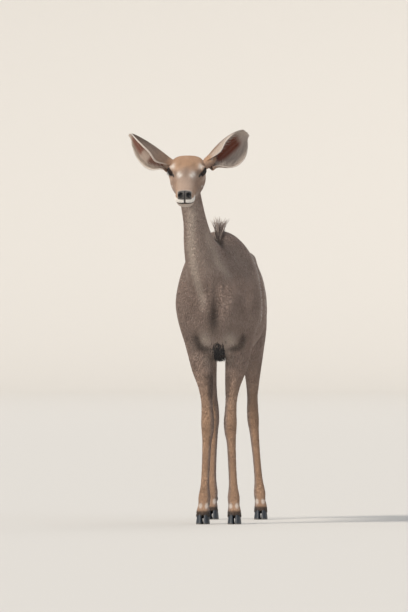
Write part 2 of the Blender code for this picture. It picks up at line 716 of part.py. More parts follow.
def mouth_cutter(tree):
    """A thin wedge along the line between the lips, from one corner of the mouth round to the other."""
    keys = smooth_rows([(p[0], p[1], p[2]) for p in MOUTH_PATH], 3)
    path = [(-out, ahead, above) for out, ahead, above in keys[::-1]] + [tuple(p) for p in keys[1:]]
    middle = face_place(0.150, 0, -0.048)
    rings = []
    for out, ahead, above in path:
        aim = face_place(ahead, out, above)
        way = (aim - middle)
        way = (way - face_way(0, 0, 1) * way.dot(face_way(0, 0, 1))).normalized()
        level = middle + face_way(0, 0, 1) * (above + 0.048)
        lip = surface_point(tree, level, way)
        up = face_way(0, 0, 1)
        outer = lip + way * 0.004
        inner = lip - way * MOUTH_DEPTH
        rings.append([outer + up * MOUTH_HALF_HEIGHT, outer - up * MOUTH_HALF_HEIGHT,
                      inner - up * 0.0004, inner + up * 0.0004])
    return loft("mouth", rings)


def build_head():
    """The head, with the top of the neck, sculpted, thinned, and given lids, nostrils and a mouth line."""
    head = join("head", [skull(40, 4), neck(NECK_ROWS[:5])])
    fuse(head, HEAD_VOXEL)
    relax(head, 14, lambda place: 1.0)
    press(head, HEAD_FORMS, in_face)
    relax(head, 3, lambda place: 0.7)
    remove([split_off(head, "waste", HEAD_BACK, HEAD_BACK_NORMAL * -1)])
    thin_out(head, HEAD_TRIANGLES)
    lids = []
    for side in (1, -1):
        centre, ways = eye_frame(side)
        size = EYE_RADIUS + LID_THICKNESS
        lids.append(ball("lid", centre, (size, size, size), ways))
    boolean(head, lids, "UNION")
    tree = BVHTree.FromObject(head, bpy.context.evaluated_depsgraph_get())
    cutters = [mouth_cutter(tree)]
    for side in (1, -1):
        cutters.append(build_eye("socket", side, GAP))
        cutters.append(eye_opening(side))
        place = face_place(NOSTRIL.y, NOSTRIL.x * side, NOSTRIL.z)
        cutters.append(ball("nostril", place, NOSTRIL_SIZE,
                            three_ways(face_way(0.5, 0.25 * side, 1), face_way(0.9, -0.5 * side, 0)), 12, 8))
    boolean(head, cutters, "DIFFERENCE")
    keep_largest(head)
    return head


def ear(name, side, way, opens, spread, shift, head):
    """A curled leaf of skin on a short bulb, cut clear of the head."""
    along = way.normalized()
    opens = (opens - along * opens.dot(along)).normalized()
    across = along.cross(opens) * side
    root = face_place(EAR_ROOT.y, EAR_ROOT.x * side, EAR_ROOT.z) + shift
    rows = EAR_ROWS
    mesh = bpy.data.meshes.new(name)
    bm = bmesh.new()
    bmesh.ops.create_grid(bm, x_segments=EAR_STEPS, y_segments=len(rows) - 1, size=1.0)
    for vertex in bm.verts:
        u = (vertex.co.x + 1) / 2
        row = rows[round((vertex.co.y + 1) / 2 * (len(rows) - 1))]
        radius, full = (row[1], row[2]) if u < 0.5 else (row[3] * spread, row[4])
        angle = (u * 2 - 1) * full
        vertex.co = (root + way * row[0] + across * math.sin(angle) * radius
                     + opens * (1 - math.cos(angle)) * radius)
    bm.to_mesh(mesh)
    bm.free()
    made = new_object(name, mesh)
    wall = made.modifiers.new("thickness", "SOLIDIFY")
    wall.thickness = EAR_THICKNESS
    wall.offset = 0.0
    apply_modifiers(made)
    edit(made, lambda bm: bmesh.ops.recalc_face_normals(bm, faces=bm.faces))
    bulb = ball("bulb", root + opens * 0.026, EAR_BULB, three_ways(along, opens), 14, 8)
    boolean(made, [bulb], "UNION")
    boolean(made, [grown(head, "head_cutter", GAP)], "DIFFERENCE")
    keep_largest(made)
    return made


def coronet_height(ahead):
    """Height of the hair line at a distance in front of the middle of the foot."""
    return CORONET_HEIGHT + CORONET_SLOPE * (CLAW_AHEAD + CLAW_HALF_LENGTH - ahead)


def claw(name, foot, side):
    """Half of a cloven hoof, flat underneath, on the inner or the outer side of the foot."""
    rings = []
    for share, scale in CLAW_LEVELS:
        points = []
        outline = [(along, outer) for along, inner, outer in CLAW_OUTLINE]
        outline += [(along, inner) for along, inner, outer in reversed(CLAW_OUTLINE)]
        for along, across in outline:
            ahead = CLAW_AHEAD + along * CLAW_HALF_LENGTH * scale - CLAW_LEAN * share
            out = side * (CLAW_APART + across * CLAW_HALF_WIDTH * scale)
            turned = math.sin(TOE_OUT) * side * ahead * 0.5
            height = share * (coronet_height(ahead) - GAP)
            points.append(foot + Vector((out + turned, -ahead, height)))
        rings.append(points)
    return loft(name, rings)


def coronet_plane(foot):
    """A point and the upward way of the plane along the top of the hooves of one foot."""
    point = foot + Vector((0, 0, coronet_height(0)))
    return point, Vector((0, CORONET_SLOPE * -1, 1)).normalized()


def cut_flat(obj, name, point, normal):
    """Parts an object at a plane and throws away what lies on the normal's side."""
    remove([split_off(obj, name, point, normal)])
    keep_largest(obj)


def loose_parts(obj):
    """One object for each closed surface of an object, which is removed."""
    bm = bmesh.new()
    bm.from_mesh(obj.data)
    left, made = set(bm.faces), []
    while left:
        stack, body = [left.pop()], []
        while stack:
            face = stack.pop()
            body.append(face)
            for edge in face.edges:
                for other in edge.link_faces:
                    if other in left:
                        left.discard(other)
                        stack.append(other)
        copy = bm.copy()
        copy.faces.ensure_lookup_table()
        kept = {face.index for face in body}
        bmesh.ops.delete(copy, geom=[f for f in copy.faces if f.index not in kept], context="FACES")
        mesh = bpy.data.meshes.new("part")
        copy.to_mesh(mesh)
        copy.free()
        made.append(new_object("part", mesh))
    bm.free()
    remove([obj])
    return made


def middle_of(obj):
    """Average of an object's points."""
    total = Vector((0, 0, 0))
    for vertex in obj.data.vertices:
        total += vertex.co
    return total / len(obj.data.vertices)


def foot_place(place, side):
    """Floor point under a foot, given the leg's place and side."""
    row = FORE_LEG_ROWS[-1] if place == "fore" else HIND_LEG_ROWS[-1]
    step_in = RIGHT_HIND_STEP_IN if (place == "hind" and side < 0) else 0.0
    return Vector(((row[0] - step_in) * side, row[1], 0))


def part_leg(leg_piece, place, side):
    """Parts a leg at its knee or hock and trims it along the hair line of its hooves."""
    word = "left" if side > 0 else "right"
    leg_piece.name = f"{place}_leg_upper_{word}"
    joint = KNEE_HEIGHT if place == "fore" else HOCK_HEIGHT
    lower = split_off(leg_piece, f"{place}_leg_lower_{word}", Vector((0, 0, joint)), Vector((0, 0, -1)))
    point, up = coronet_plane(foot_place(place, side))
    cut_flat(lower, "waste", point + up * GAP / 2, -up)
    return lower


def build_foot(place, side, lower):
    """Two hoof claws and two dewclaws for one leg."""
    word = "left" if side > 0 else "right"
    foot = foot_place(place, side)
    claws, spurs = [], []
    for claw_side, where in ((side, "outer"), (-side, "inner")):
        claws.append(claw(f"{place}_hoof_{word}_{where}", foot, claw_side))
        key = FORE_DEWCLAW if place == "fore" else HIND_DEWCLAW
        step_in = RIGHT_HIND_STEP_IN * 0.9 if (place == "hind" and side < 0) else 0.0
        centre = Vector(((key.x - step_in) * side + DEWCLAW_OUT * claw_side, key.y, key.z))
        ways = three_ways(Vector((0, 0.45, -1)), Vector((1, 0, 0)))
        spur = ball(f"{place}_dewclaw_{word}_{where}", centre, DEWCLAW_SIZE, ways, 7, 5)
        boolean(spur, [grown(lower, "leg_cutter", GAP)], "DIFFERENCE")
        keep_largest(spur)
        spurs.append(spur)
    return claws, spurs


def build_nodes(coat, face, horn, wet):
    """Builds every node and gives each its finish."""
    body = build_body()
    boolean(body, spine_locks(body), "UNION")
    keep_largest(body)
    head = build_head()
    remove([split_off(body, "rough_head", HEAD_BACK, HEAD_BACK_NORMAL)])
    neck_part = split_off(body, "neck", NECK_BASE, NECK_BASE_NORMAL)
    legs = loose_parts(split_off(body, "legs", Vector((0, 0, LEG_TOP)), Vector((0, 0, -1))))
    for node in (body, neck_part):
        keep_largest(node)
    finishes = [(coat, [body, neck_part]), (face, [head])]
    for piece in legs:
        middle = middle_of(piece)
        place = "fore" if middle.y < 0.4 else "hind"
        side = 1 if middle.x > 0 else -1
        lower = part_leg(piece, place, side)
        claws, spurs = build_foot(place, side, lower)
        finishes += [(coat, [piece, lower]), (horn, claws + spurs)]
    ears = [ear("ear_left", 1, LEFT_EAR_WAY, LEFT_EAR_OPENS, LEFT_EAR_SPREAD, LEFT_EAR_SHIFT, head),
            ear("ear_right", -1, RIGHT_EAR_WAY, RIGHT_EAR_OPENS, RIGHT_EAR_SPREAD, RIGHT_EAR_SHIFT, head)]
    tail = build_tail()
    boolean(tail, [grown(body, "rump_cutter", GAP)], "DIFFERENCE")
    keep_largest(tail)
    finishes += [(coat, ears + [tail]), (wet, [build_eye("eye_left", 1), build_eye("eye_right", -1)])]
    for finish, nodes in finishes:
        for node in nodes:
            node.data.materials.clear()
            node.data.materials.append(finish)
            node.data.shade_smooth()
            node.data.set_sharp_from_angle(angle=math.radians(40))
    return [node for finish, nodes in finishes for node in nodes]


def stand_on_origin(nodes):
    """Carries the nodes on one empty, which puts the middle of their footprint over the origin."""
    shelf = bpy.data.collections.new("greater_kudu")
    bpy.context.scene.collection.children.link(shelf)
    low, high = Vector((9, 9, 9)), Vector((-9, -9, -9))
    carrier = bpy.data.objects.new("standing_place", None)
    shelf.objects.link(carrier)
    for node in nodes:
        bpy.context.scene.collection.objects.unlink(node)
        shelf.objects.link(node)
        node.parent = carrier
        for vertex in node.data.vertices:
            low = Vector(map(min, low, vertex.co))
            high = Vector(map(max, high, vertex.co))
    carrier.location = Vector((-(low.x + high.x) / 2, -(low.y + high.y) / 2, -low.z))


def main():
    remove(list(bpy.data.objects))
    coat = material("coat", COAT_BROWN, 0.85)
    face = material("face coat", FACE_TAN, 0.80)
    horn = material("hoof horn", HOOF_BLACK, 0.45)
    wet = material("eye", EYE_BLACK, 0.08)
    stand_on_origin(build_nodes(coat, face, horn, wet))


main()
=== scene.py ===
# %% [markdown]
# # A greater kudu cow, life-size
# The animal is a still model: a slender antelope cow that stands and looks straight ahead, ears spread.
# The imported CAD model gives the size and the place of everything. This lesson dresses it: one skin from
# nose to hoof, a coat of small solid tufts, a mane, wet eyes and horny feet.

# %% Load the frame
import math

import bmesh
import bpy
import numpy as np
from mathutils import Matrix, Vector
from mathutils.bvhtree import BVHTree


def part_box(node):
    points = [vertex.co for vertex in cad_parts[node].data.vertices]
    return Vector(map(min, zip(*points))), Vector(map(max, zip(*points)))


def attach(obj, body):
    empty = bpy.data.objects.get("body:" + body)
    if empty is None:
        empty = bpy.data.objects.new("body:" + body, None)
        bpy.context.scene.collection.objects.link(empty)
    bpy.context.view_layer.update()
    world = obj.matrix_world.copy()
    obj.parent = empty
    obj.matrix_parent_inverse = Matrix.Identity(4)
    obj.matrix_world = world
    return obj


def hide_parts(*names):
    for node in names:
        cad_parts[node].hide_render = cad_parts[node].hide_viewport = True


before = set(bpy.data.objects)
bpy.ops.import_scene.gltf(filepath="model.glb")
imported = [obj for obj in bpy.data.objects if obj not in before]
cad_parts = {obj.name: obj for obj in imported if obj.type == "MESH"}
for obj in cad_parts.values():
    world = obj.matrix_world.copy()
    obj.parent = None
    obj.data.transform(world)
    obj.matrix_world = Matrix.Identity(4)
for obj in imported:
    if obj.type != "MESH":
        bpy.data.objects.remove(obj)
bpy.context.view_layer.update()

# %% [markdown]
# ## Where the animal stands
# The tables below were drawn with the fore feet on x = 0. The frame keeps the middle of the whole animal
# over the origin instead, so one shift, read off the fore hooves, carries every finished piece home.

# %% The shift home
CLAW_FRONT = -0.0688        # front of the fore hooves in the drawing
left_low, left_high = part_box("fore_hoof_left_outer")
right_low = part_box("fore_hoof_right_outer")[0]
HOME = Vector(((left_high.x + right_low.x) / 2, left_low.y - CLAW_FRONT, left_low.z))
chance = np.random.default_rng(21)
print("shift home", [round(v, 4) for v in HOME])

# %% [markdown]
# ## Camera, floor and light
# The photograph looks from far off at the height of the animal's withers, a little from its right.
# A long lens at 40 m gives the same flat perspective. The pale floor curves up into a backdrop like a
# wide bowl. A wall close behind the animal would do for one picture, but it would hide the animal from
# behind, so the bowl's rim lies beyond the camera on every side. Large soft lamps, the warm one from the
# animal's right, stand in for the low sun without its hard shadows.

# %% Camera
camera_data = bpy.data.cameras.new("camera")
camera_data.sensor_fit = "AUTO"
camera_data.sensor_width = 36
camera_data.lens = 553.6
camera_data.clip_end = 200
camera = bpy.data.objects.new("camera", camera_data)
bpy.context.scene.collection.objects.link(camera)
YAW = math.radians(3.2)
camera.location = (HOME.x - 0.064 + 40 * math.sin(YAW), HOME.y - 40 * math.cos(YAW), 0.9265)
camera.rotation_euler = (math.radians(90), 0, YAW)
bpy.context.scene.camera = camera
print("camera", [round(v, 3) for v in camera.location])


# %% Colours and node helper
def colour(code):
    """A linear colour from an sRGB hex value."""
    parts = [int(code[i:i + 2], 16) / 255 for i in (1, 3, 5)]
    return tuple(v / 12.92 if v <= 0.04045 else ((v + 0.055) / 1.055) ** 2.4 for v in parts) + (1.0,)


def add(tree, kind, settings=None, **links):
    """Adds a node. Settings are its own. Links are values or sockets for its inputs, by name or _number."""
    node = tree.nodes.new(kind)
    for name, value in (settings or {}).items():
        setattr(node, name, value)
    for name, value in links.items():
        key = int(name[1:]) if name[0] == "_" else name.replace("_", " ")
        if isinstance(value, bpy.types.NodeSocket):
            tree.links.new(value, node.inputs[key])
        else:
            node.inputs[key].default_value = value
    return node


def new_material(name):
    """A named material with an empty Principled shader, its node tree and the shader."""
    made = bpy.data.materials.new(name)
    made.use_nodes = True
    return made, made.node_tree, made.node_tree.nodes["Principled BSDF"]


print("sRGB helper:", [round(v, 3) for v in colour("#808080")[:3]])

# %% Floor
FLOOR_FLAT = 60.0           # flat this far out, past every camera
FLOOR_CURVE = 8.0           # radius of the curve up into the backdrop
BACKDROP_TOP = 14.0
floor_profile = [(0.0, 0.0), (FLOOR_FLAT - 4, 0.0), (FLOOR_FLAT, 0.0)]
for a in np.linspace(0, math.pi / 2, 17)[1:]:
    floor_profile.append((FLOOR_FLAT + FLOOR_CURVE * math.sin(a), FLOOR_CURVE * (1 - math.cos(a))))
floor_profile.append((FLOOR_FLAT + FLOOR_CURVE, BACKDROP_TOP))
floor_bm = bmesh.new()
rim = [floor_bm.verts.new((reach, 0.0, height)) for reach, height in floor_profile]
edges = [floor_bm.edges.new(pair) for pair in zip(rim, rim[1:])]
bmesh.ops.spin(floor_bm, geom=rim + edges, cent=(0, 0, 0), axis=(0, 0, 1), angle=2 * math.pi, steps=96,
               use_merge=True)
bmesh.ops.remove_doubles(floor_bm, verts=floor_bm.verts, dist=0.001)
bmesh.ops.recalc_face_normals(floor_bm, faces=floor_bm.faces)
if min(floor_bm.faces, key=lambda face: face.calc_center_median().length).normal.z < 0:
    bmesh.ops.reverse_faces(floor_bm, faces=floor_bm.faces)
floor_data = bpy.data.meshes.new("floor")
floor_bm.to_mesh(floor_data)
floor_bm.free()
floor_data.shade_smooth()
floor = bpy.data.objects.new("floor", floor_data)
bpy.context.scene.collection.objects.link(floor)
floor_paint, tree, shader = new_material("matt studio floor")
shader.inputs["Base Color"].default_value = colour("#d0ceca")
shader.inputs["Roughness"].default_value = 0.95
shader.inputs["Specular IOR Level"].default_value = 0.1
floor_data.materials.append(floor_paint)
print("floor", floor.dimensions[:])


# %% Lamps and sky
def soft_lamp(name, place, strength, spread, tint):
    """A far lamp that lights the floor evenly. Its spread in degrees softens the shadows."""
    data = bpy.data.lights.new(name, "SUN")
    data.angle = math.radians(spread)
    data.energy = strength
    data.color = colour(tint)[:3]
    lamp = bpy.data.objects.new(name, data)
    lamp.location = place
    lamp.rotation_euler = (-Vector(place)).to_track_quat("-Z", "Y").to_euler()
    bpy.context.scene.collection.objects.link(lamp)
    return lamp


soft_lamp("key lamp", (-5.5, -5.0, 6.0), 3.0, 18, "#fff5e8")
soft_lamp("fill lamp", (6.0, -6.0, 3.0), 0.35, 60, "#e8eeff")
soft_lamp("back lamp", (2.0, 6.0, 6.0), 0.55, 40, "#ffffff")
world = bpy.data.worlds.new("studio")
bpy.context.scene.world = world
world.use_nodes = True
sky = world.node_tree.nodes["Background"]
sky.inputs["Color"].default_value = colour("#eef1f5")
sky.inputs["Strength"].default_value = 0.55
bpy.context.scene.view_settings.view_transform = "Standard"
print("three lamps and a pale sky")

# %% [markdown]
# ## The forms in numbers
# The flesh of an animal is a set of tapering tubes that run into one another. Each table below holds
# the sections of one tube, the same that the CAD model has. A smooth curve through the rows fills in the
# sections between them, so a handful of measured sections gives the whole form.

# %% Tables of the body
WITHERS_HEIGHT = 1.245
BELLY_HEIGHT = 0.705
BARREL_HALF_WIDTH = 0.193
# y, height of the widest point, half width, top, bottom, squareness
TRUNK_ROWS = (
    (-0.222, 0.930, 0.030, 0.965, 0.890, 2.0), (-0.208, 0.930, 0.060, 1.000, 0.845, 2.0),
    (-0.165, 0.935, 0.102, 1.065, 0.785, 2.0), (-0.105, 0.940, 0.136, 1.135, 0.740, 2.0),
    (-0.035, 0.935, 0.158, 1.213, 0.714, 2.0), (0.040, 0.925, 0.172, WITHERS_HEIGHT + 0.004, 0.706, 2.0),
    (0.135, 0.915, 0.187, 1.238, 0.705, 2.05), (0.255, 0.908, BARREL_HALF_WIDTH, 1.206, BELLY_HEIGHT, 2.1),
    (0.400, 0.908, 0.181, 1.191, BELLY_HEIGHT, 2.15), (0.540, 0.925, 0.169, 1.189, 0.724, 2.15),
    (0.660, 0.955, 0.160, 1.197, 0.772, 2.1), (0.770, 0.985, 0.148, 1.194, 0.830, 2.1),
    (0.870, 1.005, 0.124, 1.170, 0.885, 2.0), (0.935, 1.015, 0.088, 1.135, 0.925, 2.0),
    (0.968, 1.020, 0.050, 1.088, 0.965, 2.0), (0.984, 1.022, 0.016, 1.050, 0.992, 2.0))
# x, y, z, half width, nape side, throat side
NECK_ROWS = (
    (-0.113, -0.345, 1.480, 0.042, 0.045, 0.048), (-0.110, -0.318, 1.425, 0.046, 0.058, 0.058),
    (-0.099, -0.287, 1.350, 0.047, 0.064, 0.065), (-0.087, -0.248, 1.275, 0.051, 0.076, 0.077),
    (-0.078, -0.203, 1.200, 0.063, 0.106, 0.095), (-0.060, -0.157, 1.125, 0.078, 0.152, 0.114),
    (-0.036, -0.107, 1.055, 0.096, 0.200, 0.132), (-0.014, -0.050, 0.985, 0.106, 0.170, 0.135),
    (0.000, 0.015, 0.935, 0.105, 0.150, 0.110))
# x, y, z, half width, half depth behind, half depth in front
FORE_LEG_ROWS = (
    (0.078, 0.075, 1.175, 0.026, 0.045, 0.045), (0.112, 0.030, 1.080, 0.043, 0.080, 0.075),
    (0.126, -0.035, 0.970, 0.051, 0.110, 0.098), (0.118, -0.030, 0.880, 0.054, 0.110, 0.102),
    (0.100, 0.002, 0.800, 0.053, 0.092, 0.088), (0.085, 0.014, 0.735, 0.052, 0.070, 0.068),
    (0.071, 0.009, 0.660, 0.046, 0.053, 0.048), (0.058, 0.003, 0.590, 0.033, 0.039, 0.037),
    (0.052, 0.000, 0.525, 0.0250, 0.031, 0.029), (0.049, -0.003, 0.470, 0.0262, 0.029, 0.028),
    (0.048, -0.004, 0.430, 0.0285, 0.030, 0.030), (0.049, -0.001, 0.385, 0.0250, 0.027, 0.025),
    (0.052, 0.002, 0.345, 0.0200, 0.022, 0.021), (0.056, 0.003, 0.250, 0.0178, 0.0205, 0.0190),
    (0.060, 0.003, 0.165, 0.0190, 0.0215, 0.0195), (0.062, 0.002, 0.115, 0.0262, 0.0280, 0.0225),
    (0.064, -0.008, 0.080, 0.0245, 0.0230, 0.0210), (0.066, -0.020, 0.055, 0.0290, 0.0270, 0.0260),
    (0.067, -0.027, 0.030, 0.0310, 0.0290, 0.0280))
HIND_LEG_ROWS = (
    (0.060, 0.785, 1.110, 0.055, 0.090, 0.105), (0.088, 0.795, 1.020, 0.064, 0.138, 0.140),
    (0.100, 0.790, 0.920, 0.064, 0.150, 0.148), (0.104, 0.775, 0.825, 0.060, 0.130, 0.132),
    (0.103, 0.785, 0.740, 0.050, 0.100, 0.104), (0.101, 0.825, 0.665, 0.039, 0.072, 0.072),
    (0.099, 0.868, 0.595, 0.0290, 0.052, 0.047), (0.097, 0.904, 0.530, 0.0240, 0.045, 0.035),
    (0.096, 0.924, 0.478, 0.0252, 0.041, 0.033), (0.098, 0.932, 0.430, 0.0255, 0.031, 0.029),
    (0.103, 0.931, 0.375, 0.0205, 0.025, 0.023), (0.113, 0.924, 0.270, 0.0170, 0.0210, 0.0190),
    (0.122, 0.915, 0.175, 0.0182, 0.0215, 0.0195), (0.127, 0.908, 0.118, 0.0255, 0.0280, 0.0225),
    (0.130, 0.896, 0.082, 0.0235, 0.0230, 0.0210), (0.133, 0.883, 0.056, 0.0280, 0.0270, 0.0260),
    (0.134, 0.876, 0.030, 0.0300, 0.0290, 0.0280))
RIGHT_HIND_IN = (0.056, 0.022)      # how far the right hind foot and hock stand in from the mirror image
# y, z, half width, half depth
TAIL_ROWS = (
    (0.900, 1.120, 0.026, 0.024), (0.950, 1.100, 0.026, 0.023), (0.990, 1.055, 0.024, 0.019),
    (1.007, 0.970, 0.021, 0.014), (1.008, 0.880, 0.020, 0.012), (1.004, 0.790, 0.019, 0.011),
    (1.000, 0.730, 0.012, 0.008))
print("tables of", len(TRUNK_ROWS), "trunk,", len(NECK_ROWS), "neck and", len(FORE_LEG_ROWS), "leg sections")

# %% Tables of the head
EYE_MIDDLE = Vector((-0.113, -0.41, 1.496))
FACE_PITCH = math.radians(29)
HEAD_BACK = Vector((-0.11, -0.312, 1.445))
# distance ahead of the eyes, half width, top and bottom from the eye line, squareness
HEAD_ROWS = (
    (0.210, 0.019, -0.010, 0.046, 2.3), (0.204, 0.030, 0.001, 0.058, 2.3), (0.190, 0.039, 0.008, 0.071, 2.4),
    (0.165, 0.0430, 0.013, 0.084, 2.4), (0.130, 0.0425, 0.018, 0.089, 2.4),
    (0.090, 0.0450, 0.024, 0.101, 2.4),
    (0.050, 0.0550, 0.031, 0.114, 2.5), (0.015, 0.0680, 0.037, 0.123, 2.6),
    (-0.020, 0.0720, 0.038, 0.126, 2.8),
    (-0.055, 0.0735, 0.035, 0.118, 3.1), (-0.090, 0.0670, 0.025, 0.098, 2.8),
    (-0.120, 0.0430, 0.000, 0.072, 2.1))
EYE_RADIUS = 0.0205
EYE_OUT = 0.0595
GAZE = (0.72, 0.69, 0.06)           # out, ahead, above
EYE_OPENING = (0.0186, 0.0112)
SLIT_DROP = 0.0012                  # how far the slit lies below the middle of the eyeball
MOUTH_PATH = ((0.000, 0.212, -0.043), (0.022, 0.203, -0.045), (0.036, 0.180, -0.049),
              (0.041, 0.150, -0.054), (0.042, 0.125, -0.060))
NOSTRIL = (0.0180, 0.206, -0.006)
EAR_ROOT = (0.067, -0.085, 0.000)
# for each ear: its length way, the way it opens, how widely it is spread, and the shift of its root
EARS = {1: (Vector((0.1762, 0.0760, 0.1271)), Vector((0.275, -0.961, -0.030)), 1.0,
            Vector((0.0057, 0.0047, -0.0116))),
        -1: (Vector((-0.1855, -0.0039, 0.1185)), Vector((-0.263, -0.720, -0.642)), 0.816,
             Vector((0.0056, 0.0012, -0.0051)))}
# share of the length, then radius and angle of the curl on the crown side and on the outer side
EAR_ROWS = (
    (0.00, 0.022, 2.53, 0.036, 2.60), (0.12, 0.026, 2.70, 0.037, 2.13), (0.28, 0.037, 2.72, 0.064, 1.65),
    (0.46, 0.045, 2.20, 0.077, 1.40), (0.66, 0.046, 1.95, 0.073, 1.19), (0.82, 0.039, 1.75, 0.054, 0.94),
    (0.93, 0.028, 1.45, 0.026, 0.70), (1.00, 0.006, 0.80, 0.011, 0.80))
print("tables of", len(HEAD_ROWS), "head and", len(EAR_ROWS), "ear sections")

# %% [markdown]
# ## Sculpted forms
# Muscles, bones, tendons and veins lie under the skin. Each is one soft push out or pull in of the
# surface, given by a centre, a reach and a height. A sculptor's brush does the same by hand; numbers keep
# both sides of the animal alike and can be changed one at a time.

# %% Pushes on body and head
BODY_FORMS = (
    ((0.118, 0.690, 1.145), (0.028, 0.045, 0.030), 0.012),      # point of the hip
    ((0.155, 0.600, 1.050), (0.060, 0.055, 0.060), -0.013),     # hollow of the flank
    ((0.170, -0.030, 0.930), (0.050, 0.060, 0.080), 0.007),     # shoulder muscle
    ((0.145, 0.110, 1.020), (0.050, 0.035, 0.120), -0.006),     # behind the shoulder blade
    ((0.110, 0.030, 1.110), (0.030, 0.025, 0.090), 0.005),      # spine of the shoulder blade
    ((0.125, 0.085, 0.770), (0.040, 0.030, 0.025), 0.008),      # point of the elbow
    ((0.135, 0.690, 0.745), (0.040, 0.040, 0.050), 0.007),      # stifle
    ((0.080, 0.925, 1.020), (0.040, 0.040, 0.045), 0.009),      # point of the buttock
    ((0.140, 0.860, 0.850), (0.040, 0.030, 0.110), -0.006),     # between the thigh muscles
    ((0.000, -0.230, 0.930), (0.026, 0.050, 0.070), -0.012),    # groove down the breast
    ((0.052, -0.205, 0.900), (0.032, 0.050, 0.060), 0.009),     # breast muscle
    ((0.000, 0.050, 0.700), (0.035, 0.110, 0.030), 0.006))      # keel of the breastbone
FINE_FORMS = (
    ((0.020, -0.215, 0.960), (0.007, 0.060, 0.080), 0.0030),    # folds of skin down the breast
    ((0.036, -0.205, 0.985), (0.007, 0.060, 0.070), -0.0026),
    ((0.100, -0.170, 0.860), (0.016, 0.060, 0.070), -0.0040),   # between breast and arm
    ((0.118, -0.090, 0.780), (0.020, 0.050, 0.050), 0.0040),    # muscle of the fore arm
    ((0.070, -0.030, 0.640), (0.010, 0.030, 0.080), 0.0022),
    ((0.048, 0.028, 0.370), (0.009, 0.012, 0.110), 0.0020),     # tendons behind the cannon bones
    ((0.062, 0.026, 0.200), (0.006, 0.010, 0.100), 0.0018),
    ((0.113, 0.955, 0.300), (0.008, 0.012, 0.120), 0.0020),
    ((0.048, -0.034, 0.428), (0.020, 0.014, 0.022), 0.0022),    # front of the knee
    ((0.048, -0.034, 0.395), (0.020, 0.012, 0.009), -0.0016),
    ((0.096, 0.972, 0.490), (0.012, 0.016, 0.026), 0.0030),     # point of the hock
    ((0.115, 0.900, 0.520), (0.012, 0.020, 0.060), -0.0030),    # thin skin above the hock
    ((0.165, 0.300, 0.840), (0.040, 0.012, 0.120), -0.0016),    # last ribs, faint
    ((0.165, 0.345, 0.850), (0.040, 0.012, 0.110), -0.0014),
    ((0.165, 0.390, 0.860), (0.040, 0.012, 0.100), -0.0012))
HEAD_FORMS = (
    ((0.068, 0.000, 0.027), (0.018, 0.026, 0.012), 0.008),      # brow over the eye
    ((0.066, 0.034, 0.002), (0.018, 0.016, 0.014), -0.004),     # inner corner of the eye
    ((0.068, 0.012, -0.030), (0.020, 0.040, 0.012), 0.004),     # cheekbone
    ((0.046, 0.075, -0.008), (0.018, 0.034, 0.020), -0.004),    # hollow beside the nose bone
    ((0.066, -0.030, -0.066), (0.022, 0.042, 0.036), 0.004),    # jaw muscle
    ((0.042, 0.125, -0.048), (0.020, 0.030, 0.024), -0.003),    # behind the lips
    ((0.068, -0.004, -0.002), (0.030, 0.036, 0.028), 0.006),    # rim of the eye socket
    ((0.026, 0.200, -0.002), (0.011, 0.012, 0.012), 0.004),     # wing of the nostril
    ((0.044, 0.170, -0.010), (0.018, 0.026, 0.020), -0.004),    # behind the nostril
    ((0.030, 0.188, -0.036), (0.022, 0.020, 0.012), 0.004),     # upper lip
    ((0.000, 0.182, -0.064), (0.030, 0.020, 0.011), 0.003),     # lower lip
    ((0.000, 0.085, -0.105), (0.024, 0.065, 0.020), -0.007),    # between the jaws
    ((0.000, 0.012, 0.040), (0.024, 0.030, 0.020), -0.003),     # dip between the brows
    ((0.056, 0.062, -0.026), (0.006, 0.036, 0.005), 0.0016),    # vein under the eye
    ((0.064, 0.030, -0.012), (0.014, 0.012, 0.004), -0.0012),   # fold under the eye
    ((0.000, 0.213, -0.026), (0.0022, 0.010, 0.014), -0.0030),  # cleft of the upper lip
    ((0.020, 0.120, 0.022), (0.007, 0.060, 0.010), 0.0012),     # edge of the nose bone
    ((0.058, -0.085, -0.060), (0.010, 0.012, 0.045), -0.0030))  # behind the jaw
print(len(BODY_FORMS) + len(FINE_FORMS), "forms on the body,", len(HEAD_FORMS), "on the head")


# %% [markdown]
# ## Lofts
# A tube through many sections can be drawn point by point, or grown: start from one circle, extrude its
# face to the next section and set the new points on that section's outline. Growing keeps it closed.

# %% Smooth rows and lofts
def smooth_rows(keys, steps):
    """Rows on a smooth curve through the key rows."""
    keys = np.array(keys, float)
    padded = np.vstack([2 * keys[0] - keys[1], keys, 2 * keys[-1] - keys[-2]])
    rows = []
    for i in range(1, len(keys)):
        before, start, end, after = padded[i - 1:i + 3]
        for t in np.arange(steps) / steps:
            rows.append(0.5 * (2 * start + (end - before) * t
                               + (2 * before - 5 * start + 4 * end - after) * t * t
                               + (3 * start - before - 3 * end + after) * t ** 3))
    rows.append(keys[-1])
    return np.array(rows)


def new_object(name, bm):
    """A scene object that holds a bmesh, which is freed."""
    mesh = bpy.data.meshes.new(name)
    bm.to_mesh(mesh)
    bm.free()
    made = bpy.data.objects.new(name, mesh)
    bpy.context.scene.collection.objects.link(made)
    return made


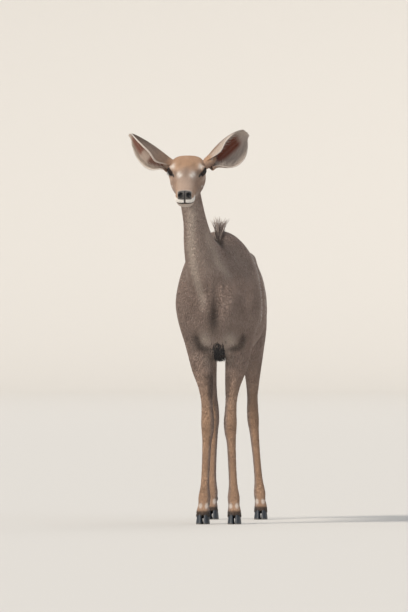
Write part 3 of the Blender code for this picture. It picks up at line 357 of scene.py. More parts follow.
def loft(name, sections):
    """A closed tube. A section has centre, way across, way up, half width, reach up and down, squareness."""
    around = 32
    bm = bmesh.new()
    bmesh.ops.create_circle(bm, cap_ends=True, segments=around, radius=1)
    bm.faces.ensure_lookup_table()
    cap = bm.faces[0]
    for number, (centre, across, up, half, above, below, square) in enumerate(sections):
        if number:
            grown = bmesh.ops.extrude_face_region(bm, geom=[cap, *cap.edges])
            cap = [item for item in grown["geom"] if isinstance(item, bmesh.types.BMFace)][0]
        for i, vertex in enumerate(cap.verts):
            c, s = math.cos(2 * math.pi * i / around), math.sin(2 * math.pi * i / around)
            wide = math.copysign(abs(c) ** (2 / square), c) * half
            tall = math.copysign(abs(s) ** (2 / square), s) * (above if s > 0 else below)
            vertex.co = centre + across * wide + up * tall
    bmesh.ops.recalc_face_normals(bm, faces=bm.faces)
    return new_object(name, bm)


def swept(rows, square=2.1):
    """Sections square to the line of their own centres: x, y, z, half width, reach up, reach down."""
    sections = []
    for row, way in zip(rows, np.gradient(rows[:, :3], axis=0)):
        along = Vector(way).normalized()
        across = (Vector((1, 0, 0)) - along * along.x).normalized()
        sections.append((Vector(row[:3]), across, across.cross(along), *row[3:6], square))
    return sections


def face_way(ahead, out, above):
    """A direction in the head's own frame."""
    forward = Vector((0, -math.cos(FACE_PITCH), -math.sin(FACE_PITCH)))
    upward = Vector((0, -math.sin(FACE_PITCH), math.cos(FACE_PITCH)))
    return forward * ahead + Vector((out, 0, 0)) + upward * above


def face_place(ahead, out, above):
    """A point ahead of the eyes along the face, out to the left, and above the eye line."""
    return EYE_MIDDLE + face_way(ahead, out, above)


def in_face(points):
    """World points as out, ahead and above in the head's own frame."""
    away = points - np.array(EYE_MIDDLE)
    c, s = math.cos(FACE_PITCH), math.sin(FACE_PITCH)
    return np.column_stack([away[:, 0], -c * away[:, 1] - s * away[:, 2], -s * away[:, 1] + c * away[:, 2]])


def leg_rows(keys, side):
    """The rows of one leg, on its own side. The right hind leg stands further in."""
    rows = smooth_rows(keys, 4)
    if side < 0 and keys is HIND_LEG_ROWS:
        rows[:, 0] -= np.interp(rows[:, 2], (0.0, 0.45, 0.80), (*RIGHT_HIND_IN, 0.0))
    rows[:, 0] *= side
    return rows


def trunk_sections():
    """Level sections of the trunk from the breast to the rump."""
    x, z = Vector((1, 0, 0)), Vector((0, 0, 1))
    return [(Vector((0, y, middle)), x, z, half, top - middle, middle - bottom, square)
            for y, middle, half, top, bottom, square in smooth_rows(TRUNK_ROWS, 4)]


def head_sections():
    """Sections of the head across the line of the face, muzzle first."""
    sections = []
    for ahead, half, top, bottom, square in smooth_rows(HEAD_ROWS, 4):
        middle = (top - bottom) * 0.35
        sections.append((face_place(ahead, 0, middle), Vector((1, 0, 0)), face_way(0, 0, 1),
                         half, top - middle, bottom + middle, square))
    return sections


print(len(trunk_sections()), "trunk sections and", len(head_sections()), "head sections")


# %% [markdown]
# ## One skin
# On the animal the skin runs over everything without a seam. The tubes overlap, so a voxel remesh fuses
# them into one even surface. Smoothing then melts the joins, most where the neck runs into the chest,
# and the pushes put muscle and bone back. A Boolean union would keep hard creases at every join.

# %% Mesh tools
def apply_modifiers(obj):
    """Makes the object's modifiers part of its mesh."""
    bpy.context.view_layer.update()
    mesh = bpy.data.meshes.new_from_object(obj.evaluated_get(bpy.context.evaluated_depsgraph_get()))
    obj.modifiers.clear()
    obj.data = mesh


def joined(name, pieces):
    """One object that holds all the pieces."""
    bm = bmesh.new()
    for piece in pieces:
        bm.from_mesh(piece.data)
        bpy.data.objects.remove(piece)
    return new_object(name, bm)


def points_of(obj, what="co"):
    """The object's points, or its normals, as rows."""
    values = np.empty(len(obj.data.vertices) * 3)
    obj.data.vertices.foreach_get(what, values)
    return values.reshape(-1, 3)


def set_points(obj, points):
    obj.data.vertices.foreach_set("co", points.ravel())
    obj.data.update()


def step(values, low, high):
    """0 below low, 1 above high, and smooth between. Low may be above high."""
    t = np.clip((values - low) / (high - low), 0, 1)
    return t * t * (3 - 2 * t)


def soft(places, centre, reach):
    """1 at the centre, falling off smoothly with the reach along each way."""
    return np.exp(-(((places - np.array(centre)) / np.array(reach)) ** 2).sum(1))


def relax(obj, rounds, weights):
    """Smooths the surface, each point by its own weight."""
    group = obj.vertex_groups.new(name="relax")
    levels = np.round(weights * 12).astype(int)
    for level in range(1, 13):
        group.add(np.flatnonzero(levels == level).tolist(), level / 12, "REPLACE")
    modifier = obj.modifiers.new("relax", "SMOOTH")
    modifier.factor = 0.5
    modifier.iterations = rounds
    modifier.vertex_group = group.name
    apply_modifiers(obj)
    obj.vertex_groups.clear()


def press(obj, forms, places):
    """Moves the surface out or in by soft pushes on both sides of the animal."""
    push = np.zeros(len(places))
    for centre, reach, height in forms:
        for side in ((1, -1) if centre[0] else (1,)):
            push += height * soft(places, np.array(centre) * (side, 1, 1), reach)
    set_points(obj, points_of(obj) + points_of(obj, "normal") * push[:, None])


def boolean(obj, others, operation, solver="MANIFOLD"):
    """Joins the others to the object, or cuts them out of it, and removes them."""
    group = bpy.data.collections.new("boolean pieces")
    for other in others:
        group.objects.link(other)
    modifier = obj.modifiers.new("boolean", "BOOLEAN")
    modifier.operation = operation
    modifier.operand_type = "COLLECTION"
    modifier.collection = group
    modifier.solver = solver
    apply_modifiers(obj)
    for other in others:
        bpy.data.objects.remove(other)
    bpy.data.collections.remove(group)


print("mesh tools ready")

# %% Fuse the flesh
SKIN_VOXEL = 0.0032
flesh = [loft("trunk", trunk_sections()), loft("neck", swept(smooth_rows(NECK_ROWS, 4))),
         loft("head", head_sections())]
for side in (1, -1):
    flesh += [loft("leg", swept(leg_rows(keys, side), 2.2)) for keys in (FORE_LEG_ROWS, HIND_LEG_ROWS)]
tail_rows = smooth_rows(TAIL_ROWS, 4)
tail_line = np.column_stack([np.zeros(len(tail_rows)), tail_rows, tail_rows[:, 3]])
flesh.append(loft("tail", swept(tail_line, 2.0)))
skin = joined("skin", flesh)
fuse = skin.modifiers.new("fuse", "REMESH")
fuse.mode = "VOXEL"
fuse.voxel_size = SKIN_VOXEL
apply_modifiers(skin)
print("fused skin:", len(skin.data.polygons), "faces")


# %% Melt the joins and press the forms
def head_share(points):
    """1 on the head, 0 on the neck and body."""
    return step((points - np.array(HEAD_BACK)) @ np.array((0, -0.86, 0.51)), -0.015, 0.020)


fine = (0.0085 / SKIN_VOXEL) ** 2       # rounds of smoothing grow as the faces shrink
spots = points_of(skin)
collar = soft(spots, (-0.025, -0.13, 1.03), (0.19, 0.16, 0.20)) * (spots[:, 2] > 0.75)
relax(skin, int(90 * fine), collar * (1 - head_share(spots)))
spots = points_of(skin)
on_head = head_share(spots)
relax(skin, int(14 * fine), step(spots[:, 2], 0.62, 0.74) * (1 - on_head))
relax(skin, int(14 * (0.0032 / SKIN_VOXEL) ** 2), on_head)
press(skin, BODY_FORMS + FINE_FORMS, points_of(skin))
press(skin, HEAD_FORMS, in_face(points_of(skin)))
relax(skin, 2, np.full(len(spots), 0.5))
print("skin box", [round(v, 3) for v in skin.dimensions])

# %% [markdown]
# ## Eyes, lids, mouth and nostrils
# A kudu's eye is a dark ball that bulges from the side of the head, under lids of skin. The lids are a thin
# ball of skin round the eyeball, fused on and smoothed, then opened by an almond-shaped cutter. The mouth
# and the nostrils are cuts as well, because their edges are sharp, and a push would only dent the skin.

# %% Balls and frames
def three_ways(along, hint):
    """Two ways across and one along, at right angles."""
    along = along.normalized()
    first = (hint - along * hint.dot(along)).normalized()
    return first, along.cross(first), along


def ball(name, centre, size, ways, segments=32, rings=20):
    """An ellipsoid whose poles lie along the last of its three ways."""
    bm = bmesh.new()
    bmesh.ops.create_uvsphere(bm, u_segments=segments, v_segments=rings, radius=1)
    turn = Matrix(ways).transposed().to_4x4()
    place = Matrix.Translation(centre) @ turn @ Matrix.Diagonal(Vector(size)).to_4x4()
    bmesh.ops.transform(bm, verts=bm.verts, matrix=place)
    return new_object(name, bm)


def eye_frame(side):
    """Middle of an eyeball, and its ways: back along the slit, up, and out along the gaze."""
    gaze = face_way(GAZE[1], GAZE[0] * side, GAZE[2])
    return face_place(0, EYE_OUT * side, 0), three_ways(gaze, face_way(-0.92, 0, 0.38))


def eye_opening(side):
    """The almond between the lids, as a cutter along the gaze."""
    centre, (along, up, gaze) = eye_frame(side)
    bm = bmesh.new()
    bmesh.ops.create_circle(bm, cap_ends=True, segments=40, radius=1)
    for vertex in bm.verts:
        c, s = vertex.co.x, vertex.co.y
        vertex.co = (centre + along * c * EYE_OPENING[0] + gaze * EYE_RADIUS * 0.5
                     + up * (s * EYE_OPENING[1] * (1 - 0.25 * c * c + (0.06 * c if s > 0 else -0.05 * c))
                             - SLIT_DROP))
    grown = bmesh.ops.extrude_face_region(bm, geom=bm.faces[:])
    moved = [item for item in grown["geom"] if isinstance(item, bmesh.types.BMVert)]
    bmesh.ops.translate(bm, verts=moved, vec=gaze * EYE_RADIUS * 1.8)
    bmesh.ops.recalc_face_normals(bm, faces=bm.faces)
    return new_object("opening", bm)


def tree_of(obj):
    return BVHTree.FromObject(obj, bpy.context.evaluated_depsgraph_get())


def mouth_cutter(tree):
    """A thin wedge along the line between the lips, from one corner of the mouth round to the other."""
    keys = smooth_rows(MOUTH_PATH, 8)
    path = [(-out, ahead, above) for out, ahead, above in keys[::-1]] + [tuple(p) for p in keys[1:]]
    up = face_way(0, 0, 1)
    bm = bmesh.new()
    bmesh.ops.create_circle(bm, cap_ends=True, segments=4, radius=1)
    bm.faces.ensure_lookup_table()
    cap = bm.faces[0]
    for number, (out, ahead, above) in enumerate(path):
        if number:
            grown = bmesh.ops.extrude_face_region(bm, geom=[cap, *cap.edges])
            cap = [item for item in grown["geom"] if isinstance(item, bmesh.types.BMFace)][0]
        level = face_place(0.150, 0, above)
        way = face_place(ahead, out, above) - level
        lip = tree.ray_cast(level, way.normalized())[0]
        outer, inner = lip + way.normalized() * 0.004, lip - way.normalized() * 0.0048
        for vertex, place in zip(cap.verts, (outer + up * 0.0018, outer - up * 0.0018,
                                             inner - up * 0.0003, inner + up * 0.0003)):
            vertex.co = place
    bmesh.ops.recalc_face_normals(bm, faces=bm.faces)
    return new_object("mouth", bm)


print("eyeballs at", [round(v, 3) for v in eye_frame(1)[0]])


# %% Ears as curled leaves
def ear_frame(side):
    """Root of an ear, its length way, its unit way along, the way it opens and the way across it."""
    way, opens, spread, shift = EARS[side]
    along = way.normalized()
    opens = (opens - along * opens.dot(along)).normalized()
    root = face_place(EAR_ROOT[1], EAR_ROOT[0] * side, EAR_ROOT[2]) + shift
    return root, way, along, opens, along.cross(opens) * side


def ear_leaf(side):
    """One curled leaf of skin with ruffled folds, on a bulb."""
    root, way, along, opens, across = ear_frame(side)
    rows = smooth_rows(EAR_ROWS, 6)
    rows[:, 1:] = np.maximum(rows[:, 1:], 0.004)
    bm = bmesh.new()
    bmesh.ops.create_grid(bm, x_segments=44, y_segments=len(rows) - 1, size=1)
    for vertex in bm.verts:
        u = vertex.co.x
        row = rows[round((vertex.co.y + 1) / 2 * (len(rows) - 1))]
        radius, full = (row[1], row[2]) if u < 0 else (row[3] * EARS[side][2], row[4])
        angle = u * full
        ridge = 0.0007 * math.sin(angle * 9) * math.sin(math.pi * min(row[0] * 1.1, 1))
        vertex.co = (root + way * row[0] + across * math.sin(angle) * (radius + ridge)
                     + opens * ((1 - math.cos(angle)) * radius + ridge))
    leaf = new_object("ear", bm)
    wall = leaf.modifiers.new("thickness", "SOLIDIFY")
    wall.thickness = 0.0030
    wall.offset = 0.0
    apply_modifiers(leaf)
    bm = bmesh.new()
    bm.from_mesh(leaf.data)
    bmesh.ops.recalc_face_normals(bm, faces=bm.faces)
    bm.to_mesh(leaf.data)
    bm.free()
    bulb = ball("bulb", root + along * 0.006 + opens * 0.022, (0.0215, 0.0215, 0.0420),
                three_ways(along, opens))
    return [leaf, bulb]


print("ear length", round(EARS[1][0].length, 3))

# %% Join ears and lids, then open eyes, mouth and nostrils
COAT_DEPTH = 0.0030         # short hair on the body; it is shorter on legs and face


def coat_depth(points):
    """How deep the skin lies under the outer surface of the coat."""
    legs = step(points[:, 2], 0.76, 0.55)
    return COAT_DEPTH - 0.0012 * legs - 0.0020 * head_share(points) * (1 - legs)


spots = points_of(skin)
set_points(skin, spots - points_of(skin, "normal") * coat_depth(spots)[:, None])
lids = [ball("lid", eye_frame(side)[0], [EYE_RADIUS + 0.0030] * 3, eye_frame(side)[1]) for side in (1, -1)]
boolean(skin, lids, "UNION")
for side in (1, -1):
    boolean(skin, ear_leaf(side), "UNION")
spots = points_of(skin)
joins = np.zeros(len(spots))
for side in (1, -1):
    joins += (soft(spots, ear_frame(side)[0], (0.045, 0.045, 0.045))
              * (1 - soft(spots, eye_frame(side)[0], (0.034, 0.034, 0.034))))
relax(skin, 14, np.clip(joins, 0, 1))
spots = points_of(skin)
joins = sum(0.8 * soft(spots, eye_frame(side)[0], (0.030, 0.030, 0.030)) for side in (1, -1))
relax(skin, 4, np.clip(joins, 0, 1))
cutters = [mouth_cutter(tree_of(skin))]
for side in (1, -1):
    centre, ways = eye_frame(side)
    cutters.append(ball("socket", centre, [EYE_RADIUS + 0.0003] * 3, ways, 48, 32))
    cutters.append(eye_opening(side))
    cutters.append(ball("nostril", face_place(NOSTRIL[1], NOSTRIL[0] * side, NOSTRIL[2]),
                        (0.0074, 0.0140, 0.0072),
                        three_ways(face_way(0.5, 0.25 * side, 1), face_way(0.9, -0.5 * side, 0))))
boolean(skin, cutters, "DIFFERENCE")
print("skin with ears, lids and openings:", len(skin.data.polygons), "faces")

# %% [markdown]
# ## Feet
# A kudu walks on the tips of two toes. The skin ends at the coronet, a slanting hair line over the
# hooves, so a block cuts each leg off there. Each hoof is grown from its sole outline, level by level, with
# a slightly wavy side for the growth rings of horn, and its sole edge is bevelled by wear.

# %% Sizes of the feet
CORONET_HEIGHT = 0.047
CORONET_SLOPE = -0.28
CLAW_HALF_LENGTH = 0.039
CLAW_AHEAD = 0.004
CLAW_HALF_WIDTH = 0.0145
CLAW_APART = 0.0152
CLAW_LEAN = 0.012
TOE_OUT = math.radians(6)
# along from heel to toe, inner side, outer side, as shares of half length and half width
CLAW_OUTLINE = ((-1.0, -0.35, 0.30), (-0.85, -0.85, 0.80), (-0.40, -1.0, 1.0), (0.10, -0.95, 0.95),
                (0.55, -0.98, 0.68), (0.85, -0.94, 0.20), (1.0, -0.80, -0.25))
LEGS = [(place, side) for place in ("fore", "hind") for side in (1, -1)]


def foot_place(place, side):
    """Floor point under a foot."""
    row = FORE_LEG_ROWS[-1] if place == "fore" else HIND_LEG_ROWS[-1]
    step_in = RIGHT_HIND_IN[0] if (place, side) == ("hind", -1) else 0.0
    return Vector(((row[0] - step_in) * side, row[1], 0))


def coronet_height(ahead):
    """Height of the hair line at a distance in front of the middle of the foot."""
    return CORONET_HEIGHT + CORONET_SLOPE * (CLAW_AHEAD + CLAW_HALF_LENGTH - ahead)


blocks = []
for place, side in LEGS:
    bm = bmesh.new()
    bmesh.ops.create_cube(bm, size=0.16)
    up = Vector((0, -CORONET_SLOPE, 1)).normalized()
    turn = up.to_track_quat("Z", "Y").to_matrix().to_4x4()
    middle = foot_place(place, side) + Vector((0, 0, coronet_height(0) - 0.004)) - up * 0.08
    bmesh.ops.transform(bm, verts=bm.verts, matrix=Matrix.Translation(middle) @ turn)
    bmesh.ops.scale(bm, verts=bm.verts, vec=(0.5, 1, 1), space=Matrix.Translation(-middle))
    blocks.append(new_object("block", bm))
boolean(skin, blocks, "DIFFERENCE")
print("feet trimmed at", [round(v, 3) for v in foot_place("fore", 1)])


# %% Hooves
def home(obj):
    """Carries a finished piece from the drawing's place to its place in the frame."""
    obj.data.transform(Matrix.Translation(HOME))
    return obj


def hoof(name, foot, side):
    """Half of a cloven hoof with growth rings, on the inner or the outer side of the foot."""
    outline = smooth_rows(CLAW_OUTLINE, 3)
    outline = [(row[0], row[2]) for row in outline] + [(row[0], row[1]) for row in outline[::-1]]
    bm = bmesh.new()
    bmesh.ops.create_circle(bm, cap_ends=True, segments=len(outline), radius=1)
    bm.faces.ensure_lookup_table()
    cap = bm.faces[0]
    levels = ([(0.0, 0.955), (0.035, 0.985)] + [(share, 1.01 - 0.215 * share)
                                                for share in np.linspace(0.10, 1, 19)])
    for number, (share, scale) in enumerate(levels):
        if number:
            grown = bmesh.ops.extrude_face_region(bm, geom=[cap, *cap.edges])
            cap = [item for item in grown["geom"] if isinstance(item, bmesh.types.BMFace)][0]
        ring = 1 + (0.010 * (number % 2) if 2 < number < 20 else 0)
        for vertex, (along, across) in zip(cap.verts, outline):
            ahead = CLAW_AHEAD + along * CLAW_HALF_LENGTH * scale * ring - CLAW_LEAN * share
            out = side * (CLAW_APART + across * CLAW_HALF_WIDTH * scale * ring)
            height = share * (coronet_height(ahead) - 0.0004)
            vertex.co = foot + Vector((out + math.sin(TOE_OUT) * side * ahead * 0.5, -ahead, height))
    bmesh.ops.recalc_face_normals(bm, faces=bm.faces)
    rim = [edge for edge in cap.edges]
    bmesh.ops.bevel(bm, geom=rim, offset=0.0018, segments=2, profile=0.5, affect="EDGES", material=-1)
    made = home(new_object(name, bm))
    made.data.shade_smooth()
    return made


def dewclaw(name, centre, side):
    """A small blunt spur of horn behind the pastern."""
    ways = three_ways(Vector((0, 0.45, -1)), Vector((1, 0, 0)))
    made = home(ball(name, centre, (0.0083, 0.0088, 0.0148), ways, 24, 14))
    return made


horn_pieces = []
for place, side in LEGS:
    foot, word = foot_place(place, side), "left" if side > 0 else "right"
    key = Vector((0.063, 0.023, 0.088)) if place == "fore" else Vector((0.1285, 0.925, 0.090))
    step_in = RIGHT_HIND_IN[0] * 0.9 if (place, side) == ("hind", -1) else 0.0
    for claw_side, where in ((side, "outer"), (-side, "inner")):
        end = f"{word}_{where}"
        piece = hoof(f"hoof_{place}_{end}", foot, claw_side)
        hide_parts(f"{place}_hoof_{end}")
        spur = dewclaw(f"dewclaw_{place}_{end}",
                       Vector(((key.x - step_in) * side + 0.015 * claw_side, key.y, key.z)), claw_side)
        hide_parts(f"{place}_dewclaw_{end}")
        spur.data.shade_smooth()
        horn_pieces += [piece, spur]
print(len(horn_pieces), "hooves and dewclaws")

# %% [markdown]
# ## Thin the skin
# The fused skin has far more faces than its forms need. Decimating keeps the shape and drops the rest.
# The head keeps nearly all of its own faces, because lids, lips and ears are where people look.

# %% Decimate
SKIN_TRIANGLES = 186000
bpy.context.view_layer.update()
keep = step(head_share(points_of(skin)), 0.2, 0.7)
group = skin.vertex_groups.new(name="body")
group.add(np.flatnonzero(keep < 0.5).tolist(), 1.0, "REPLACE")
skin.data.calc_loop_triangles()
count = len(skin.data.loop_triangles)
if count > SKIN_TRIANGLES:
    bm = bmesh.new()
    bm.from_mesh(skin.data)
    bmesh.ops.triangulate(bm, faces=bm.faces)
    bm.to_mesh(skin.data)
    bm.free()
    thin = skin.modifiers.new("thin", "DECIMATE")
    thin.ratio = SKIN_TRIANGLES / count
    thin.vertex_group = group.name
    thin.vertex_group_factor = 0.02
    apply_modifiers(skin)
skin.vertex_groups.clear()
print("skin:", count, "triangles thinned to", len(skin.data.polygons), "faces")

# %% [markdown]
# ## Markings and painted light
# Skin and hair carry the same markings, so both read one function of place. The same function also paints
# shade on the chest, the legs and the face, and highlight down the neck. It gives each point eight
# shares from 0 to 1: tan, cream, dark and black in one colour attribute, white and rust in a second,
# which also keeps how far along a hair a point is and the tone of that hair. Painting an image by hand
# would do as well, but a function can be corrected by one number.


# %% Places along neck and ears
def neck_axis(points):
    """Sideways and depth place of the neck's middle at each point's height."""
    rows = np.array(NECK_ROWS)[::-1]
    return np.interp(points[:, 2], rows[:, 2], rows[:, 0]), np.interp(points[:, 2], rows[:, 2], rows[:, 1])


EAR_CURVE = smooth_rows(EAR_ROWS, 6)


def ear_places(points, side):
    """Share along the ear, place across it from -1 (crown edge) to 1, depth in the cup, way to its axis."""
    root, way, along, opens, across = (np.array(v) for v in ear_frame(side))
    away = points - root
    share = away @ way / (way @ way)
    over, out = away @ across, away @ opens
    crown = over < 0
    radius = np.where(crown, np.interp(share, EAR_CURVE[:, 0], EAR_CURVE[:, 1]),
                      np.interp(share, EAR_CURVE[:, 0], EAR_CURVE[:, 3] * EARS[side][2]))
    full = np.where(crown, np.interp(share, EAR_CURVE[:, 0], EAR_CURVE[:, 2]),
                    np.interp(share, EAR_CURVE[:, 0], EAR_CURVE[:, 4]))
    radius = np.maximum(radius, 0.004)
    reach = np.maximum(np.hypot(over, out - radius), 1e-6)
    inward = (across * -over[:, None] + opens * (radius - out)[:, None]) / reach[:, None]
    return share, np.arctan2(over, radius - out) / full, radius - reach, inward


def ear_share(points, side):
    """1 on the leaf of an ear, 0 on the rest of the head."""
    share, turn, depth, inward = ear_places(points, side)
    return (step(share, 0.04, 0.16) * (np.abs(depth) < 0.014) * (share < 1.1)
            * step(head_share(points), 0.0, 0.01))


print("ear curve of", len(EAR_CURVE), "rows")


# %% Markings and painted shade of the head
def band(values, middle, half, soft_edge=0.35):
    """1 within half of the middle, falling to 0 over a soft edge."""
    return step(np.abs(values - middle) / half, 1 + soft_edge, 1 - soft_edge)


def segment(places, start, end, half):
    """1 along a line from start to end, with soft sides."""
    start, end = np.array(start), np.array(end)
    way = end - start
    t = np.clip((places - start) @ way / (way @ way), 0, 1)
    gap = np.linalg.norm(places - (start + t[:, None] * way), axis=1)
    return step(gap / half, 1.3, 0.7)


def head_marks_and_shade(points):
    """Tan, cream, dark, black, white and rust of the head, some of the dark painted shade."""
    face = in_face(points)
    folded = np.column_stack([np.abs(face[:, 0]), face[:, 1], face[:, 2]])
    out, ahead, above = folded.T
    tan = (0.50 + 0.45 * step(above, 0.00, 0.03) * step(ahead, 0.07, 0.00)
           + 0.15 * step(ahead, 0.06, 0.12) * step(out, 0.02, 0.035))
    tan = tan - 0.25 * step(above, -0.03, -0.09) * step(ahead, 0.16, 0.05)
    cream = 0.75 * step(above, -0.050, -0.085) * step(ahead, 0.03, 0.10)
    cream += 0.22 * step(above, -0.02, 0.01) * step(ahead, 0.00, 0.10)
    cream += 0.55 * soft(folded, (0.066, 0.000, 0.036), (0.014, 0.020, 0.012))
    cream += 0.45 * soft(folded, (0.070, 0.010, -0.030), (0.02, 0.03, 0.010))
    white = 0.80 * soft(folded, (0.035, 0.068, 0.022), (0.012, 0.015, 0.012))
    white = np.maximum(white, 0.85 * soft(folded, (0.026, 0.082, 0.023), (0.010, 0.013, 0.012)))
    white = np.maximum(white, 0.68 * soft(folded, (0.060, 0.008, 0.024), (0.012, 0.020, 0.008)))
    lips = step(ahead, 0.160, 0.178) * step(above, -0.020, -0.027) * step(above, -0.046, -0.042)
    chin = step(ahead, 0.135, 0.165) * step(above, -0.046, -0.050)
    white = np.maximum(white, 0.95 * lips * step(out, 0.0022, 0.0040))
    white = np.maximum(white, 0.36 * chin)
    for spot, size in (((0.062, 0.052, -0.050), 0.0060), ((0.066, 0.026, -0.062), 0.0055),
                       ((0.067, 0.000, -0.076), 0.0045)):
        white = np.maximum(white, 0.85 * step(np.linalg.norm(folded - spot, axis=1) / size, 1.4, 0.8))
    pad = step(ahead, 0.184, 0.192) * step(above, -0.028, -0.024) * step(above, 0.016, 0.010)
    pad *= step(out, 0.0315, 0.0270)
    cleft = step(ahead, 0.185, 0.192) * step(out, 0.0042, 0.0022) * step(above, -0.046, -0.043)
    gap = np.abs(np.interp(out, (0, 0.022, 0.036, 0.042), (-0.043, -0.045, -0.049, -0.060)) - above)
    line = step(gap, 0.0042, 0.0022) * step(ahead, 0.118, 0.130)
    hole = step(np.linalg.norm((folded - (0.0180, 0.206, -0.006)) / (0.0105, 0.016, 0.0115), axis=1), 1.15,
                0.8)
    white = white * (1 - pad) + 0.75 * pad * (1 - hole)
    black = np.maximum(np.maximum(pad * (0.88 + 0.12 * hole), cleft), line)
    black = np.maximum(black, 0.90 * segment(folded, (0.0640, 0.018, -0.003), (0.0530, 0.040, -0.006),
                                             0.0052))
    for side in (1, -1):
        centre, (along, up, gaze) = eye_frame(side)
        away = points - np.array(centre)
        flat = np.hypot(away @ np.array(along) / (EYE_OPENING[0] + 0.0020),
                        (away @ np.array(up) + SLIT_DROP) / (EYE_OPENING[1] + 0.0020))
        near = step(flat, 1.16, 0.98) * (away @ np.array(gaze) > 0)
        black = np.maximum(black, near)
    # Painted shade: a darker band down the middle of the nose bridge.
    dark = 0.34 * soft(folded, (0.0, 0.075, 0.034), (0.012, 0.050, 0.02))
    # Painted shade in the hollow in front of the inner corner of each eye.
    dark += 0.50 * soft(folded, (0.052, 0.048, 0.012), (0.012, 0.018, 0.010))
    dark += 0.30 * soft(folded, (0.030, 0.010, 0.040), (0.010, 0.022, 0.012))
    return tan, cream, dark, black, white, np.zeros(len(points))


print("head markings ready")


# %% Markings, painted shade and highlight of the body
FORE_BLACK = (0.0, 0.020, 0.712)        # black hair on the breastbone between the fore legs


def leg_side(points):
    """The leg each point is nearest to, as its sideways middle."""
    fore = points[:, 1] < 0.4
    side = np.sign(points[:, 0])
    rows = np.array(FORE_LEG_ROWS)[::-1]
    hind = np.array(HIND_LEG_ROWS)[::-1]
    middle = np.where(fore, np.interp(points[:, 2], rows[:, 2], rows[:, 0]),
                      np.interp(points[:, 2], hind[:, 2], hind[:, 0]))
    step_in = np.where((side < 0) & ~fore, np.interp(points[:, 2], (0.0, 0.45, 0.80), (*RIGHT_HIND_IN, 0.0)),
                       0)
    return (middle - step_in) * side


